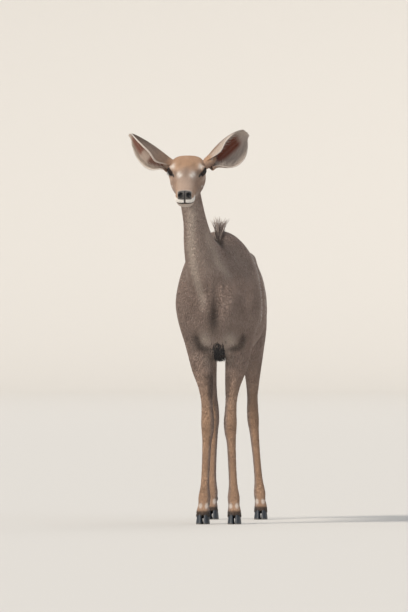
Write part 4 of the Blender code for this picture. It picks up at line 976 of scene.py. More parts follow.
def body_marks_and_painted_light(points, normals):
    """Tan, cream, dark, black, white and rust of neck, trunk, legs and tail, some of it painted shade and
    highlight.
    """
    x, y, z = points.T
    low = step(z, 0.74, 0.40)
    inward = -normals[:, 0] * np.sign(x)
    front = -normals[:, 1]
    # The legs are tan below the body, more so on the front. Their inner sides are greyer, partly their own
    # colour and partly painted shade.
    tan = 0.20 + low * (0.34 + 0.24 * front - 0.42 * step(inward, 0.2, 0.8))
    neck_x, neck_y = neck_axis(points)
    on_neck = step(z, 1.00, 1.12) * step(y, 0.02, -0.06)
    cream = np.zeros(len(points))
    # Painted highlight: two pale streaks down the front edges of the neck, as if light caught those ridges;
    # the one on the animal's right is stronger.
    for keys, strength in ((((0.95, -0.058), (1.06, -0.088), (1.165, -0.105), (1.31, -0.097)), 0.46),
                           (((1.06, 0.042), (1.10, 0.012), (1.21, -0.026), (1.39, -0.038)), 0.36)):
        heights, places = np.array(keys).T
        ridge = step(np.abs(x - np.interp(z, heights, places)), 0.028, 0.003)
        cream += (strength * ridge * step(z, heights[0] - 0.07, heights[0] + 0.03)
                  * step(z, heights[-1] + 0.06, heights[-1]) * step(front, 0.0, 0.4) * (y < 0))
    cream += 0.18 * on_neck * step(front, 0.1, 0.7)
    cream += 0.30 * step(z, 0.86, 0.72) * step(z, 0.62, 0.72) * step(inward, 0.1, 0.7)
    cream += 0.62 * soft(np.column_stack([np.abs(x), y, z]), (0.052, -0.100, 0.790), (0.028, 0.10, 0.035))
    cream += 0.20 * step(normals[:, 2], -0.5, -0.9) * step(z, 0.68, 0.72)
    dark = 0.75 * on_neck * step(np.abs(x - neck_x), 0.024, 0.010) * step(normals[:, 1], 0.3, 0.8)
    back = np.abs(x) * step(z, 1.0, 1.1) + (1 - step(z, 1.0, 1.1))
    dark = np.maximum(dark, 0.65 * step(back, 0.030, 0.010) * step(y, -0.12, -0.05) * step(y, 0.12, 0.02))
    # Painted shade in the groove down the breast, a little to the animal's right of the middle.
    dark += 0.80 * soft(points, (-0.012, -0.215, 0.880), (0.024, 0.08, 0.075))
    # Painted shade: the front of the chest, from about 0.8 to 1.0 m up, is darkened as if it lay in shadow.
    dark += 0.14 * step(z, 0.76, 0.82) * step(z, 1.06, 0.96) * step(front, 0.0, 0.5)
    # Painted shade in the creases of skin where the fore legs meet the breast.
    mirrored = np.column_stack([np.abs(x - 0.008), np.full(len(points), 0.0), z])
    fold_shade = (soft(mirrored, (0.100, 0.0, 0.790), (0.014, 1.0, 0.020))
            + soft(mirrored, (0.090, 0.0, 0.766), (0.015, 1.0, 0.018)))
    fold_shade += (soft(mirrored, (0.074, 0.0, 0.750), (0.018, 1.0, 0.013))
             + soft(mirrored, (0.052, 0.0, 0.744), (0.018, 1.0, 0.011)))
    dark += 0.72 * np.minimum(fold_shade, 1.0) * step(front, 0.0, 0.3) * (y < 0.02)
    dark += 0.14 * step(z, 0.34, 0.46) * step(z, 0.74, 0.66)
    garter = band(z, 0.585, 0.055) * step(inward, -0.1, 0.5) * (y < 0.4)
    dark = np.maximum(dark, 0.60 * garter)
    dark += 0.22 * step(normals[:, 2], 0.2, 0.9) * step(z, 1.0, 1.1)
    white = 0.60 * step(back, 0.014, 0.004) * step(y, 0.10, 0.20) * step(y, 0.86, 0.80)
    for number in range(8):
        start = 0.135 + 0.088 * number
        lean = start - 0.055 * np.sin((1.18 - z) * 3.4) + 0.006 * np.sin(z * 31 + number * 2.1)
        reach = step(z, 0.83 + 0.03 * (number % 3), 0.90 + 0.03 * (number % 3)) * step(np.abs(x), 0.012, 0.03)
        white = np.maximum(white, 0.50 * reach * step(np.abs(y - lean) / 0.0058, 1.5, 0.6))
    away = x - leg_side(points)
    for place in (0.0130, -0.0130):
        oval = np.hypot((away - place) / 0.0075, (z - 0.078) / 0.0120)
        white = np.maximum(white, 0.52 * step(oval, 1.35, 0.5) * step(front, 0.1, 0.4))
    black = step(z - (CORONET_HEIGHT + CORONET_SLOPE * 0.02), 0.020, 0.009) * 0.85
    black = np.maximum(black, 0.90 * step(np.hypot(away / 0.008, (z - 0.078) / 0.020), 1.1, 0.8)
                       * step(front, 0.2, -0.1))
    black = np.maximum(black, 0.92 * soft(points, FORE_BLACK, (0.030, 0.075, 0.016)))
    top = 0.750 + 0.011 * np.cos((x - 0.004) * 620)
    spiky = step(np.abs(x - 0.004), 0.028, 0.021) * step(z, top + 0.005, top - 0.003) * step(y, 0.00, -0.04)
    black = np.maximum(black, spiky)
    tail = step(y, 0.975, 0.990) * step(z, 1.10, 1.04)
    white = np.maximum(white, tail * step(z, 0.74, 0.80) * np.maximum(0.85 * step(np.abs(x), 0.010, 0.016),
                                                                      step(-normals[:, 1], 0.0, 0.5)))
    black = np.maximum(black, tail * step(z, 0.775, 0.735))
    return tan, cream, dark, black, white, np.zeros(len(points))


print("body markings ready")


# %% Markings and painted light of the whole animal
def marks_and_painted_light(points, normals):
    """The two colour attributes at each point: tan, cream, dark, black; and white, rust, along, tone."""
    share = head_share(points)
    mixed = [h * share + b * (1 - share) for h, b in zip(head_marks_and_shade(points), body_marks_and_painted_light(points, normals))]
    for side in (1, -1):
        on_ear = ear_share(points, side)
        length, turn, depth, inward = ear_places(points, side)
        inside = step((normals * inward).sum(1), -0.15, 0.15)
        edge = step(np.abs(turn), 0.88, 0.97)
        lobe = (step(turn, -0.66, -0.80) * step(length, 0.80, 0.60) * step(length, 0.06, 0.16)
                * (0.9 if side > 0 else 0.15))
        streak = 0.5 + 0.5 * np.sin(turn * 34 + length * 9)
        if side > 0:
            deep = (step(length, 0.16, 0.26) * step(length, 0.88, 0.70) * step(turn, -0.72, -0.55)
                    * step(turn, 0.46, 0.16))
            shade, pale_edge = 0.12, 0.20
        else:
            deep = (step(length, 0.06, 0.14) * step(length, 0.98, 0.86) * step(turn, -0.93, -0.86)
                    * step(turn, 0.88, 0.55))
            deep *= 1 - 0.80 * band(length, 0.52, 0.09) * step(turn, 0.10, 0.45)
            shade, pale_edge = 0.46, 0.50
        grey = (side < 0) * 0.50 * band(length, 0.28, 0.15) * step(turn, 0.40, 0.60) * step(turn, 0.96, 0.84)
        ear_tan = 0.30 * inside + (1 - inside) * (0.30 + 0.35 * step(length, 0.50, 0.15))
        ear_cream = inside * (0.95 - 0.22 * streak * (1 - edge)) + (1 - inside) * (0.14 + 0.65 * lobe)
        ear_dark = ((1 - inside) * (1 - lobe) * (shade + 0.35 * step(length, 0.20, 0.85) + 0.2 * edge)
                    + inside * grey)
        ear_white = (inside * pale_edge * edge + (1 - inside) * 0.45 * step(np.abs(turn), 0.93, 0.99)
                     * step(length, 0.9, 0.3))
        crown_edge = step(turn, -0.91, -0.96) * (side < 0)
        ear_white = np.maximum(ear_white * (1 - crown_edge), (0.30 + 0.45 * step(length, 0.70, 0.95))
                               * crown_edge)
        ear_dark *= 1 - crown_edge
        ear_cream = np.maximum(ear_cream, 0.75 * crown_edge)
        ear_rust = inside * deep * (1.0 if side > 0 else 0.85) * (1 - 0.12 * streak) * (1 - crown_edge)
        values = (ear_tan, ear_cream, ear_dark, np.zeros(len(points)), ear_white, ear_rust)
        mixed = [v * on_ear + m * (1 - on_ear) for v, m in zip(values, mixed)]
    tan, cream, dark, black, white, rust = (np.clip(m, 0, 1) for m in mixed)
    first = np.column_stack([tan, cream, dark, black])
    second = np.column_stack([white, rust, np.full(len(points), 0.35), np.full(len(points), 0.5)])
    return first, second


def set_marks(obj, first, second):
    """Stores the two colour attributes on an object's points."""
    for name, values in (("marks_one", first), ("marks_two", second)):
        attribute = obj.data.color_attributes.new(name, "FLOAT_COLOR", "POINT")
        attribute.data.foreach_set("color", values.astype(np.float32).ravel())


set_marks(skin, *marks_and_painted_light(points_of(skin), points_of(skin, "normal")))
print("markings on", len(skin.data.vertices), "points of the skin")

# %% [markdown]
# ## Coat material
# Kudu hair is short, dry and dull, grey-brown with paler tips, so it is rough, with little shine and a
# touch of sheen. One group of nodes mixes the colours by the markings and darkens each tuft towards its
# root, which is painted shade deep in the coat. The skin adds a bump of fine streaks about 3 mm wide,
# drawn coarser than single hairs because a hair would not show from this far.

# %% Coat colours
COAT = {"shade": "#685b58", "light": "#9f928e", "brown": "#94735a", "tan": "#cea684", "cream": "#d2c4b8",
        "dark": "#40352f",
        "black": "#15171b", "white": "#f6f2ec", "rust": "#7a3b24"}


def coat_material(name, streaks):
    """Rough hair coloured by the markings and darkened towards the tuft roots as painted shade. Streaks above
    0 add a bump of fine lines to it.
    """
    made, tree, shader = new_material(name)
    place = add(tree, "ShaderNodeTexCoord").outputs["Object"]
    one = add(tree, "ShaderNodeAttribute", {"attribute_name": "marks_one"})
    two = add(tree, "ShaderNodeAttribute", {"attribute_name": "marks_two"})
    first = add(tree, "ShaderNodeSeparateColor", Color=one.outputs["Color"])
    second = add(tree, "ShaderNodeSeparateColor", Color=two.outputs["Color"])
    lines = add(tree, "ShaderNodeMapping", Vector=place, Scale=(1.0, 0.55, 0.22))
    hair = add(tree, "ShaderNodeTexNoise", Vector=lines.outputs[0], Scale=310.0, Detail=3.0)      # about 3 mm
    # about 60 mm
    cloud = add(tree, "ShaderNodeTexNoise", Vector=place, Scale=16.0, Detail=3.0)
    tone = add(tree, "ShaderNodeMath", {"operation": "MULTIPLY_ADD"}, _0=cloud.outputs["Fac"], _1=0.9,
               _2=-0.20)
    tone = add(tree, "ShaderNodeMath", {"operation": "MULTIPLY_ADD"}, _0=hair.outputs["Fac"], _1=0.35,
               _2=tone.outputs[0])
    tone = add(tree, "ShaderNodeMath", {"operation": "MULTIPLY_ADD", "use_clamp": True},
               _0=two.outputs["Alpha"], _1=0.45,
               _2=tone.outputs[0])
    shown = add(tree, "ShaderNodeMix", {"data_type": "RGBA"}, _0=tone.outputs[0], _6=colour(COAT["shade"]),
                _7=colour(COAT["light"]))
    warm = add(tree, "ShaderNodeMix", {"data_type": "RGBA"}, _0=tone.outputs[0], _6=colour(COAT["brown"]),
               _7=colour(COAT["tan"]))
    shown = add(tree, "ShaderNodeMix", {"data_type": "RGBA"}, _0=first.outputs["Red"], _6=shown.outputs[2],
                _7=warm.outputs[2])
    for mask, finish in ((first.outputs["Green"], "cream"), (second.outputs["Green"], "rust"),
                         (first.outputs["Blue"], "dark"), (second.outputs["Red"], "white"),
                         (one.outputs["Alpha"], "black")):
        shown = add(tree, "ShaderNodeMix", {"data_type": "RGBA"}, _0=mask, _6=shown.outputs[2],
                    _7=colour(COAT[finish]))
    # Each tuft is darker at its root and paler at its tip: the pale tips are the hair's own colour, the
    # darker roots are painted shade deep in the coat. The skin takes the value of a point about a third of
    # the way along.
    depth = add(tree, "ShaderNodeMapRange", Value=second.outputs["Blue"], From_Min=0.0, From_Max=1.0,
                To_Min=0.80, To_Max=1.10)
    grain = add(tree, "ShaderNodeMapRange", Value=hair.outputs["Fac"], From_Min=0.25, From_Max=0.75,
                To_Min=0.90, To_Max=1.08)
    root_shade_and_grain = add(tree, "ShaderNodeMath", {"operation": "MULTIPLY"}, _0=depth.outputs[0], _1=grain.outputs[0])
    bright = add(tree, "ShaderNodeVectorMath", {"operation": "SCALE"}, _0=shown.outputs[2],
                 Scale=root_shade_and_grain.outputs[0])
    tree.links.new(bright.outputs[0], shader.inputs["Base Color"])
    damp = add(tree, "ShaderNodeMapRange", Value=one.outputs["Alpha"], From_Min=0.7, From_Max=1.0,
               To_Min=0.80, To_Max=0.42)
    tree.links.new(damp.outputs[0], shader.inputs["Roughness"])
    shader.inputs["Specular IOR Level"].default_value = 0.28
    shader.inputs["Sheen Weight"].default_value = 0.10
    shader.inputs["Sheen Roughness"].default_value = 0.5
    if streaks:
        bump = add(tree, "ShaderNodeBump", Height=hair.outputs["Fac"], Strength=streaks, Distance=0.0012)
        tree.links.new(bump.outputs[0], shader.inputs["Normal"])
    return made


skin_finish = coat_material("short kudu hair over skin", 0.55)
hair_finish = coat_material("kudu guard hair", 0.0)
print("coat colours:", ", ".join(f"{name} {code}" for name, code in COAT.items()))

# %% [markdown]
# ## The lie of the coat
# Every hair grows out of the skin and leans the way the coat lies: back from the nose, down the neck,
# back and down over the ribs, down the legs and out along the ears. The tufts below follow that one
# field. Their roots are spread evenly by area over the skin's own triangles, so that no side of the
# animal is left bald.

# %% Roots on the skin
skin.data.calc_loop_triangles()
CORNERS = np.empty(len(skin.data.loop_triangles) * 3, dtype=int)
skin.data.loop_triangles.foreach_get("vertices", CORNERS)
CORNERS = CORNERS.reshape(-1, 3)
SKIN_POINTS, SKIN_NORMALS = points_of(skin), points_of(skin, "normal")
CORNER_POINTS = SKIN_POINTS[CORNERS]
AREAS = (np.linalg.norm(np.cross(CORNER_POINTS[:, 1] - CORNER_POINTS[:, 0], CORNER_POINTS[:, 2]
                                 - CORNER_POINTS[:, 0]), axis=1) / 2)
MIDDLES = CORNER_POINTS.mean(1)
OUTWARD = SKIN_NORMALS[CORNERS].mean(1)
SKIN_TREE = tree_of(skin)


def unit(rows):
    return rows / np.maximum(np.linalg.norm(rows, axis=1, keepdims=True), 1e-9)


def scatter(density):
    """Evenly spread roots and their normals, for a number of roots per square metre on each triangle.

    Each root has a row of draws of its own, so that one root more or less leaves the others in place.
    """
    total = np.cumsum(AREAS * density)
    count = int(total[-1])
    place, a, b = np.random.default_rng(7).random((count, 3)).T
    picked = np.searchsorted(total, (np.arange(count) + place) * total[-1] / count)
    picked = np.minimum(picked, len(AREAS) - 1)
    a, b = np.where(a + b > 1, 1 - a, a), np.where(a + b > 1, 1 - b, b)
    parts = np.column_stack([1 - a - b, a, b])[:, :, None]
    return (CORNER_POINTS[picked] * parts).sum(1), unit((SKIN_NORMALS[CORNERS[picked]] * parts).sum(1))


def on_tail(points):
    return (points[:, 1] > 0.984) & (points[:, 2] < 1.085) & (np.abs(points[:, 0]) < 0.035)


def bare(points):
    """1 where no tuft grows: eye sockets, nose pad, nostrils, line of the mouth, hair line of the feet."""
    face = in_face(points)
    out, ahead, above = np.abs(face[:, 0]), face[:, 1], face[:, 2]
    pad = (ahead > 0.186) & (above > -0.027) & (above < 0.014) & (out < 0.032)
    gap = np.abs(np.interp(out, (0, 0.022, 0.036, 0.042), (-0.043, -0.045, -0.049, -0.060)) - above)
    closed = pad | ((gap < 0.0035) & (ahead > 0.118))
    for side in (1, -1):
        centre, (along, up, gaze) = eye_frame(side)
        away = points - np.array(centre)
        flat = np.hypot(away @ np.array(along) / (EYE_OPENING[0] + 0.004),
                        (away @ np.array(up) + SLIT_DROP) / (EYE_OPENING[1] + 0.004))
        closed |= np.linalg.norm(away, axis=1) < EYE_RADIUS + 0.0012
        closed |= (flat < 1.0) & (away @ np.array(gaze) > 0)
        nostril = np.array(face_place(NOSTRIL[1], NOSTRIL[0] * side, NOSTRIL[2]))
        closed |= np.linalg.norm(points - nostril, axis=1) < 0.016
    return closed | (points[:, 2] < CORONET_HEIGHT - 0.022)


HEAD_PART = head_share(MIDDLES)
EAR_PART = np.maximum(ear_share(MIDDLES, 1), ear_share(MIDDLES, -1)) > 0.5
on_head = (HEAD_PART > 0.5) & ~EAR_PART
tail_part = on_tail(MIDDLES)
leg_part = ((MIDDLES[:, 2] < 0.735) & (np.abs(MIDDLES[:, 0]) > 0.012) & ~tail_part
            & ((MIDDLES[:, 2] < 0.70) | (MIDDLES[:, 1] > 0.6) | (MIDDLES[:, 1] < 0.10)))
neck_part = (((MIDDLES - np.array((-0.05, -0.12, 1.09))) @ np.array((-0.16, -0.49, 0.86)) > 0) & ~on_head
             & ~EAR_PART & (MIDDLES[:, 1] < 0.02))
trunk_part = ~(on_head | EAR_PART | tail_part | leg_part | neck_part)
chest_part = trunk_part & (MIDDLES[:, 1] < 0.04)
trunk_part &= ~chest_part
for name, part in (("head", on_head), ("ears", EAR_PART), ("tail", tail_part), ("legs", leg_part),
                   ("neck", neck_part), ("chest", chest_part), ("trunk", trunk_part)):
    print(name, round(float(AREAS[part].sum()), 3), "square metres")


# %% Which way the hair lies
def lie(points, normals):
    """Unit ways along the skin in which the coat lies."""
    x, y, z = points.T
    front = -normals[:, 1]
    ways = np.tile(np.array((0.0, 0.86, -0.50)), (len(points), 1))
    ways += step(front, 0.2, 0.8)[:, None] * np.array((0, -0.55, -0.70))
    ways += step(z, 0.90, 0.74)[:, None] * np.array((0, -0.70, -1.1))
    ways += (step(normals[:, 2], -0.5, -0.9) * step(z, 0.66, 0.70))[:, None] * np.array((0, 1.4, 0.9))
    neck = (step((points - np.array((-0.05, -0.12, 1.05))) @ np.array((-0.16, -0.49, 0.86)), -0.05, 0.08)
            * (y < 0.05))
    ways = ways * (1 - neck)[:, None] + neck[:, None] * np.array((0.15, 0.47, -0.86))
    share = head_share(points)
    face = in_face(points)
    back = np.array(face_way(-1, 0, 0)) + np.sign(face[:, 0])[:, None] * np.array((0.18, 0, 0))
    ways = ways * (1 - share)[:, None] + share[:, None] * back
    for side in (1, -1):
        root, way, along, opens, across = (np.array(v) for v in ear_frame(side))
        length, turn, depth, inward = ear_places(points, side)
        on_ear = ear_share(points, side)[:, None]
        lengthwise = along + across * (turn * 0.25)[:, None]
        ways = ways * (1 - on_ear) + lengthwise * on_ear
    down = on_tail(points)[:, None]
    ways = np.where(down, np.array((0.0, 0.05, -1.0)), ways)
    return unit(ways - normals * (ways * normals).sum(1)[:, None])


def coat_size(points):
    """Length and width of the short tufts: longest on the body, smallest on face and feet."""
    leg = step(points[:, 2], 0.80, 0.45)
    foot = step(points[:, 2], 0.16, 0.06)
    length = 0.0185 - 0.0075 * leg - 0.0045 * foot
    width = 0.0034 - 0.0010 * leg - 0.0004 * foot
    share = head_share(points)
    muzzle = step(in_face(points)[:, 1], 0.08, 0.16)
    length = length * (1 - share) + share * (0.0068 - 0.0030 * muzzle)
    width = width * (1 - share) + share * (0.00155 - 0.0004 * muzzle)
    on_ear = np.maximum(ear_share(points, 1), ear_share(points, -1))
    return length * (1 - on_ear) + 0.0085 * on_ear, width * (1 - on_ear) + 0.0016 * on_ear


print("coat lies back and down; tufts from", 4, "to", 18, "mm long")


# %% Tufts as one mesh
def strands(name, rings, tips, first, second, tone, shares, places):
    """Closed tapered strands as one mesh: rings of three points each and a tip.

    rings has the shape (rings, strands, 3, 3). Each strand carries the markings of its root, how far along it
    each point is, and its own tone, and takes a small patch of the map OFBake at its root's place.
    """
    levels, count = rings.shape[0], rings.shape[1]
    size = 3 * levels + 1
    points = np.concatenate([rings.transpose(1, 0, 2, 3).reshape(count, -1, 3), tips[:, None, :]], axis=1)
    pattern = [(0, 2, 1)]
    for level in range(levels - 1):
        for i in range(3):
            a, b = 3 * level + i, 3 * level + (i + 1) % 3
            pattern += [(a, b, b + 3), (a, b + 3, a + 3)]
    pattern += [(3 * levels - 3 + i, 3 * levels - 3 + (i + 1) % 3, size - 1) for i in range(3)]
    faces = (np.array(pattern)[None] + np.arange(count)[:, None, None] * size).reshape(-1, 3)
    flat = points.reshape(-1, 3)
    a, b, c = (flat[faces[:, i]] for i in range(3))
    if (np.einsum("ij,ij->i", a - points[:, :1].repeat(len(pattern), 1).reshape(-1, 3),
                  np.cross(b - a, c - a))).sum() < 0:
        faces = faces[:, ::-1]
    mesh = bpy.data.meshes.new(name)
    mesh.vertices.add(len(flat))
    mesh.loops.add(faces.size)
    mesh.polygons.add(len(faces))
    mesh.vertices.foreach_set("co", flat.ravel())
    mesh.loops.foreach_set("vertex_index", faces.ravel().astype(np.int32))
    mesh.polygons.foreach_set("loop_start", (np.arange(len(faces)) * 3).astype(np.int32))
    mesh.update()
    made = bpy.data.objects.new(name, mesh)
    bpy.context.scene.collection.objects.link(made)
    along = np.append(np.repeat(shares, 3), 1.0)
    second = np.repeat(second, size, axis=0)
    second[:, 2] = np.tile(along, count)
    second[:, 3] = np.repeat(tone, size)
    set_marks(made, np.repeat(first, size, axis=0), second)
    offset = np.column_stack([np.append(np.tile((-1.0, 1.0, 0.0), levels), 0.0), along * 2 - 1]) * 0.0015
    spread = (places[:, None, :] + offset[None]).reshape(-1, 2)
    layer = mesh.uv_layers.new(name="OFBake")
    layer.data.foreach_set("uv", spread[faces.ravel()].astype(np.float32).ravel())
    return made


def settle(points, reach):
    """The places nearest on the skin, and its normals there. A point that has left the skin stays."""
    found, ways, kept = np.array(points), np.zeros_like(points), np.zeros(len(points), bool)
    for i, point in enumerate(points):
        hit = SKIN_TREE.find_nearest(Vector(point), reach[i])
        if hit[0] is not None:
            found[i], ways[i], kept[i] = hit[0], hit[1], True
    return found, ways, kept


def short_coat(name, density, unwrap):
    """Flat overlapping tufts that follow the skin, one mesh."""
    roots, normals = scatter(density * ~bare(MIDDLES))
    free = ~bare(roots)
    own = np.random.default_rng(21).normal(0, 1, (len(roots), 5))[free]
    roots, normals = roots[free], normals[free]
    count = len(roots)
    ways = lie(roots, normals)
    sides = np.cross(ways, normals)
    ways = unit(ways + sides * 0.16 * own[:, :1])
    sides = np.cross(ways, normals)
    length, width = coat_size(roots)
    rim = np.zeros(count)
    for side in (1, -1):
        share, turn, depth, inward = ear_places(roots, side)
        rim = np.maximum(rim, ear_share(roots, side) * np.maximum(step(np.abs(turn), 0.75, 0.95),
                                                                  step(share, 0.86, 0.97)))
    length = length * np.clip(1 + 0.115 * own[:, 1], 0.80, 1.20) * (1 - 0.55 * rim)
    width = width * np.clip(1 + 0.087 * own[:, 2], 0.85, 1.15)
    depth = coat_depth(roots)
    spots, slopes = [roots], [normals]
    for share in (0.5, 1.0):
        goal = roots + ways * (length * share)[:, None]
        found, slope, kept = settle(goal, length * 0.35)
        slopes.append(np.where(kept[:, None], slope, normals))
        spots.append(found)
    lift = (-0.0009, depth * 0.40, depth * np.clip(0.75 + 0.115 * own[:, 3], 0.55, 0.95))
    rings = []
    for number, fat in ((0, 0.85), (1, 1.0)):
        base = spots[number] + slopes[number] * np.broadcast_to(lift[number], count)[:, None]
        across = sides * (width * fat / 2)[:, None]
        ridge = slopes[number] * (width * 0.30)[:, None]
        rings.append(np.stack([base - across, base + across, base + ridge], axis=1))
    tips = spots[2] + slopes[2] * lift[2][:, None]
    first, second = marks_and_painted_light(roots + ways * (length * 0.45)[:, None], normals)
    tone = np.clip(0.5 + 0.22 * own[:, 4], 0, 1)
    return strands(name, np.array(rings), tips, first, second, tone, (0.0, 0.5), unwrap(roots))


def boxed(across, along):
    """Places on the map, kept off its edges."""
    return np.column_stack([np.clip(across, 0.002, 0.998), np.clip(along, 0.002, 0.998)])


def trunk_map(points):
    turned = np.arctan2(np.abs(points[:, 0]), points[:, 2] - 0.95) / math.pi
    return boxed(turned, (points[:, 1] + 0.25) / 1.27)


def chest_map(points):
    return boxed(np.arctan2(points[:, 0], points[:, 2] - 0.95) / (2 * math.pi) + 0.5,
                 (points[:, 1] + 0.25) / 0.31)


def neck_map(points):
    x, y = neck_axis(points)
    return boxed(np.arctan2(points[:, 0] - x, points[:, 1] - y) / (2 * math.pi) + 0.5,
                 (points[:, 2] - 1.0) / 0.5)


def leg_map(points):
    middle = leg_side(points)
    y = np.where(points[:, 1] < 0.4, 0.0, np.interp(points[:, 2], (0, 0.47, 0.8), (0.88, 0.92, 0.79)))
    turned = np.arctan2(points[:, 0] - middle, points[:, 1] - y) / (2 * math.pi) + 0.5
    return boxed((turned + (points[:, 0] > 0)) / 2, points[:, 2] / 0.8)


def head_map(points):
    face = in_face(points)
    return boxed(np.arctan2(face[:, 0], face[:, 2] + 0.03) / (2 * math.pi) + 0.5, (face[:, 1] + 0.14) / 0.37)


def ear_map(points):
    """Four fields: the inside and the outside of each ear."""
    left = ear_share(points, 1) >= ear_share(points, -1)
    here, there = ear_places(points, 1), ear_places(points, -1)
    share, turn, depth = (np.where(left, here[i], there[i]) for i in range(3))
    return boxed((np.clip((turn + 1) / 2, 0.01, 0.99) + left) / 2,
                 (np.clip(share / 1.1, 0.01, 0.99) + (depth > 0)) / 2)


print("tuft tools ready")

# %% The short coat
THIN = 1.0       # a quick pass grows fewer tufts
half = MIDDLES[:, 0] > 0
fore = MIDDLES[:, 1] < 0.4
fine_legs = 1 + 1.3 * step(MIDDLES[:, 2], 0.60, 0.30)
coat = [short_coat("coat_trunk_left", trunk_part * half * 29000.0 * THIN, trunk_map),
        short_coat("coat_trunk_right", trunk_part * ~half * 29000.0 * THIN, trunk_map),
        short_coat("coat_chest", chest_part * 44000.0 * THIN, chest_map),
        short_coat("coat_neck", neck_part * 48000.0 * THIN, neck_map),
        short_coat("coat_fore_legs", leg_part * fore * fine_legs * 30000.0 * THIN, leg_map),
        short_coat("coat_hind_legs", leg_part * ~fore * fine_legs * 30000.0 * THIN, leg_map),
        short_coat("coat_head", on_head * 138000.0 * THIN, head_map),
        short_coat("coat_ears", EAR_PART * 100000.0 * THIN, ear_map)]
for piece in coat:
    print(piece.name, len(piece.data.polygons), "triangles")

# %% [markdown]
# ## Long hair
# A kudu cow has a mane down the nape, a ragged upright tuft on the withers, a low crest along the back, a
# black patch under the breast, pale hair in the ears and a bushy tail, white at the sides and black at
# the tip. These hairs stand off the body, so each strand is a bent, tapered spike with a root of its own,
# drawn from a seed.

# %% Strands of long hair
# share of the length, share of the width
STRAND_RINGS = ((0.0, 0.80), (0.30, 1.0), (0.62, 0.80), (0.86, 0.45))
ROOT_SINK = 0.0030
MANE_STRANDS, CREST_STRANDS, TUFT_STRANDS, BREAST_STRANDS = 900, 620, 200, 320


def long_hair(name, roots, normals, ways, length, width, bend, first, second, places):
    """Bent, tapered strands as one mesh."""
    count = len(roots)
    ways = unit(ways)
    sides = unit(np.cross(ways, normals) + 1e-6)
    starts = roots - ways * ROOT_SINK
    rings = []
    for share, fat in STRAND_RINGS:
        middle = starts + ways * (length * share)[:, None] + bend * (length * share * share)[:, None]
        upward = unit(np.cross(sides, ways + bend * 2 * share))
        across = sides * (width * fat / 2)[:, None]
        rings.append(np.stack([middle - across, middle + across, middle
                               + upward * (width * fat * 0.45)[:, None]], axis=1))
    tips = starts + ways * length[:, None] + bend * length[:, None]
    tone = np.clip(0.5 + chance.normal(0, 0.26, count), 0, 1)
    return strands(name, np.array(rings), tips, first, second, tone, [share for share, fat in STRAND_RINGS],
                   places)


def hair_marks(count, tan=0.0, cream=0.0, dark=0.0, black=0.0, white=0.0, rust=0.0):
    """The same markings for a number of strands, with a little chance in each."""
    first = np.array((tan, cream, dark, black)) * chance.uniform(0.8, 1.1, (count, 4))
    second = np.array((white, rust, 0.5, 0.5)) * chance.uniform(0.8, 1.1, (count, 4))
    return np.clip(first, 0, 1), np.clip(second, 0, 1)


def cast(starts, ways):
    """Where rays from inside leave the skin, and the normals there."""
    hits = [SKIN_TREE.ray_cast(Vector(start), Vector(way)) for start, way in zip(starts, ways)]
    return np.array([hit[0] for hit in hits]), np.array([hit[1] for hit in hits])


print("strand tools ready")

# %% Mane, crest and the tuft on the withers
NAPE = smooth_rows(NECK_ROWS, 8)[:, :3]
where = 3 + (np.arange(MANE_STRANDS) + chance.random(MANE_STRANDS)) / MANE_STRANDS * 43
middle = np.column_stack([np.interp(where, np.arange(len(NAPE)), NAPE[:, i]) for i in range(3)])
down = unit(np.column_stack([np.interp(where, np.arange(len(NAPE)), np.gradient(NAPE[:, i]))
                             for i in range(3)]))
back = unit(np.array((0.0, 1.0, 0.0)) - down * down[:, 1:2])
aside = (back + np.column_stack([chance.normal(0, 0.13, MANE_STRANDS), np.zeros(MANE_STRANDS),
                                 np.zeros(MANE_STRANDS)]))
roots, normals = cast(middle, unit(aside))
ways = back * 0.80 + down * 0.60 + chance.normal(0, 0.10, (MANE_STRANDS, 3))
fade = step(where, 2, 8) * step(where, 47, 40)
length = 0.050 * (0.45 + 0.55 * fade) * chance.uniform(0.75, 1.15, MANE_STRANDS)
mane = long_hair("coat_mane", roots, normals, ways, length, chance.uniform(0.0016, 0.0026, MANE_STRANDS),
                 down * 0.35 - back * 0.10, *hair_marks(MANE_STRANDS, tan=0.1, dark=0.80),
                 boxed(roots[:, 0] * 4 + 0.7, where / 48))

CREST_START, CREST_LENGTH = -0.045, 0.590
share = np.concatenate([(np.arange(CREST_STRANDS) + chance.random(CREST_STRANDS)) / CREST_STRANDS * 1.3,
                        np.clip(chance.normal(0.075, 0.045, TUFT_STRANDS), 0, 0.25)])
count = len(share)
upright = (np.exp(-((share - 0.075) / 0.105) ** 2) * np.append(np.full(CREST_STRANDS, 0.22),
                                                               chance.uniform(0.45, 1.0, TUFT_STRANDS)))
x = chance.normal(0, 0.0085, count)
wisp = np.append(np.zeros(CREST_STRANDS), chance.choice((-0.30, -0.22, 0.0, 0.10, 0.26, 0.36), TUFT_STRANDS))
x[CREST_STRANDS:] = chance.normal(0, 0.004, TUFT_STRANDS) + wisp[CREST_STRANDS:] * 0.012
inside = np.column_stack([x, CREST_START + share * CREST_LENGTH, np.full(count, 1.0)])
roots, normals = cast(inside, np.tile((0.0, 0.0, 1.0), (count, 1)))
low = unit(np.column_stack([x * 8, np.full(count, 0.80), 0.42 - share * 0.18]))
raised = unit(np.column_stack([x * 6 + wisp, np.full(count, 0.20), np.full(count, 0.95)]))
jitter = np.append(np.full(CREST_STRANDS, 0.08), np.full(TUFT_STRANDS, 0.05))
ways = low + (raised - low) * upright[:, None] + chance.normal(0, 1, (count, 3)) * jitter[:, None]
length = (0.022 + 0.082 * upright) * chance.uniform(0.75, 1.15, count)
bend = np.array((0.0, 0.25, -0.28)) * (1 - 0.7 * upright)[:, None]
first, second = hair_marks(count, tan=0.15, dark=0.55)
pale = chance.random(count) < 0.22 + 0.35 * (upright > 0.8)
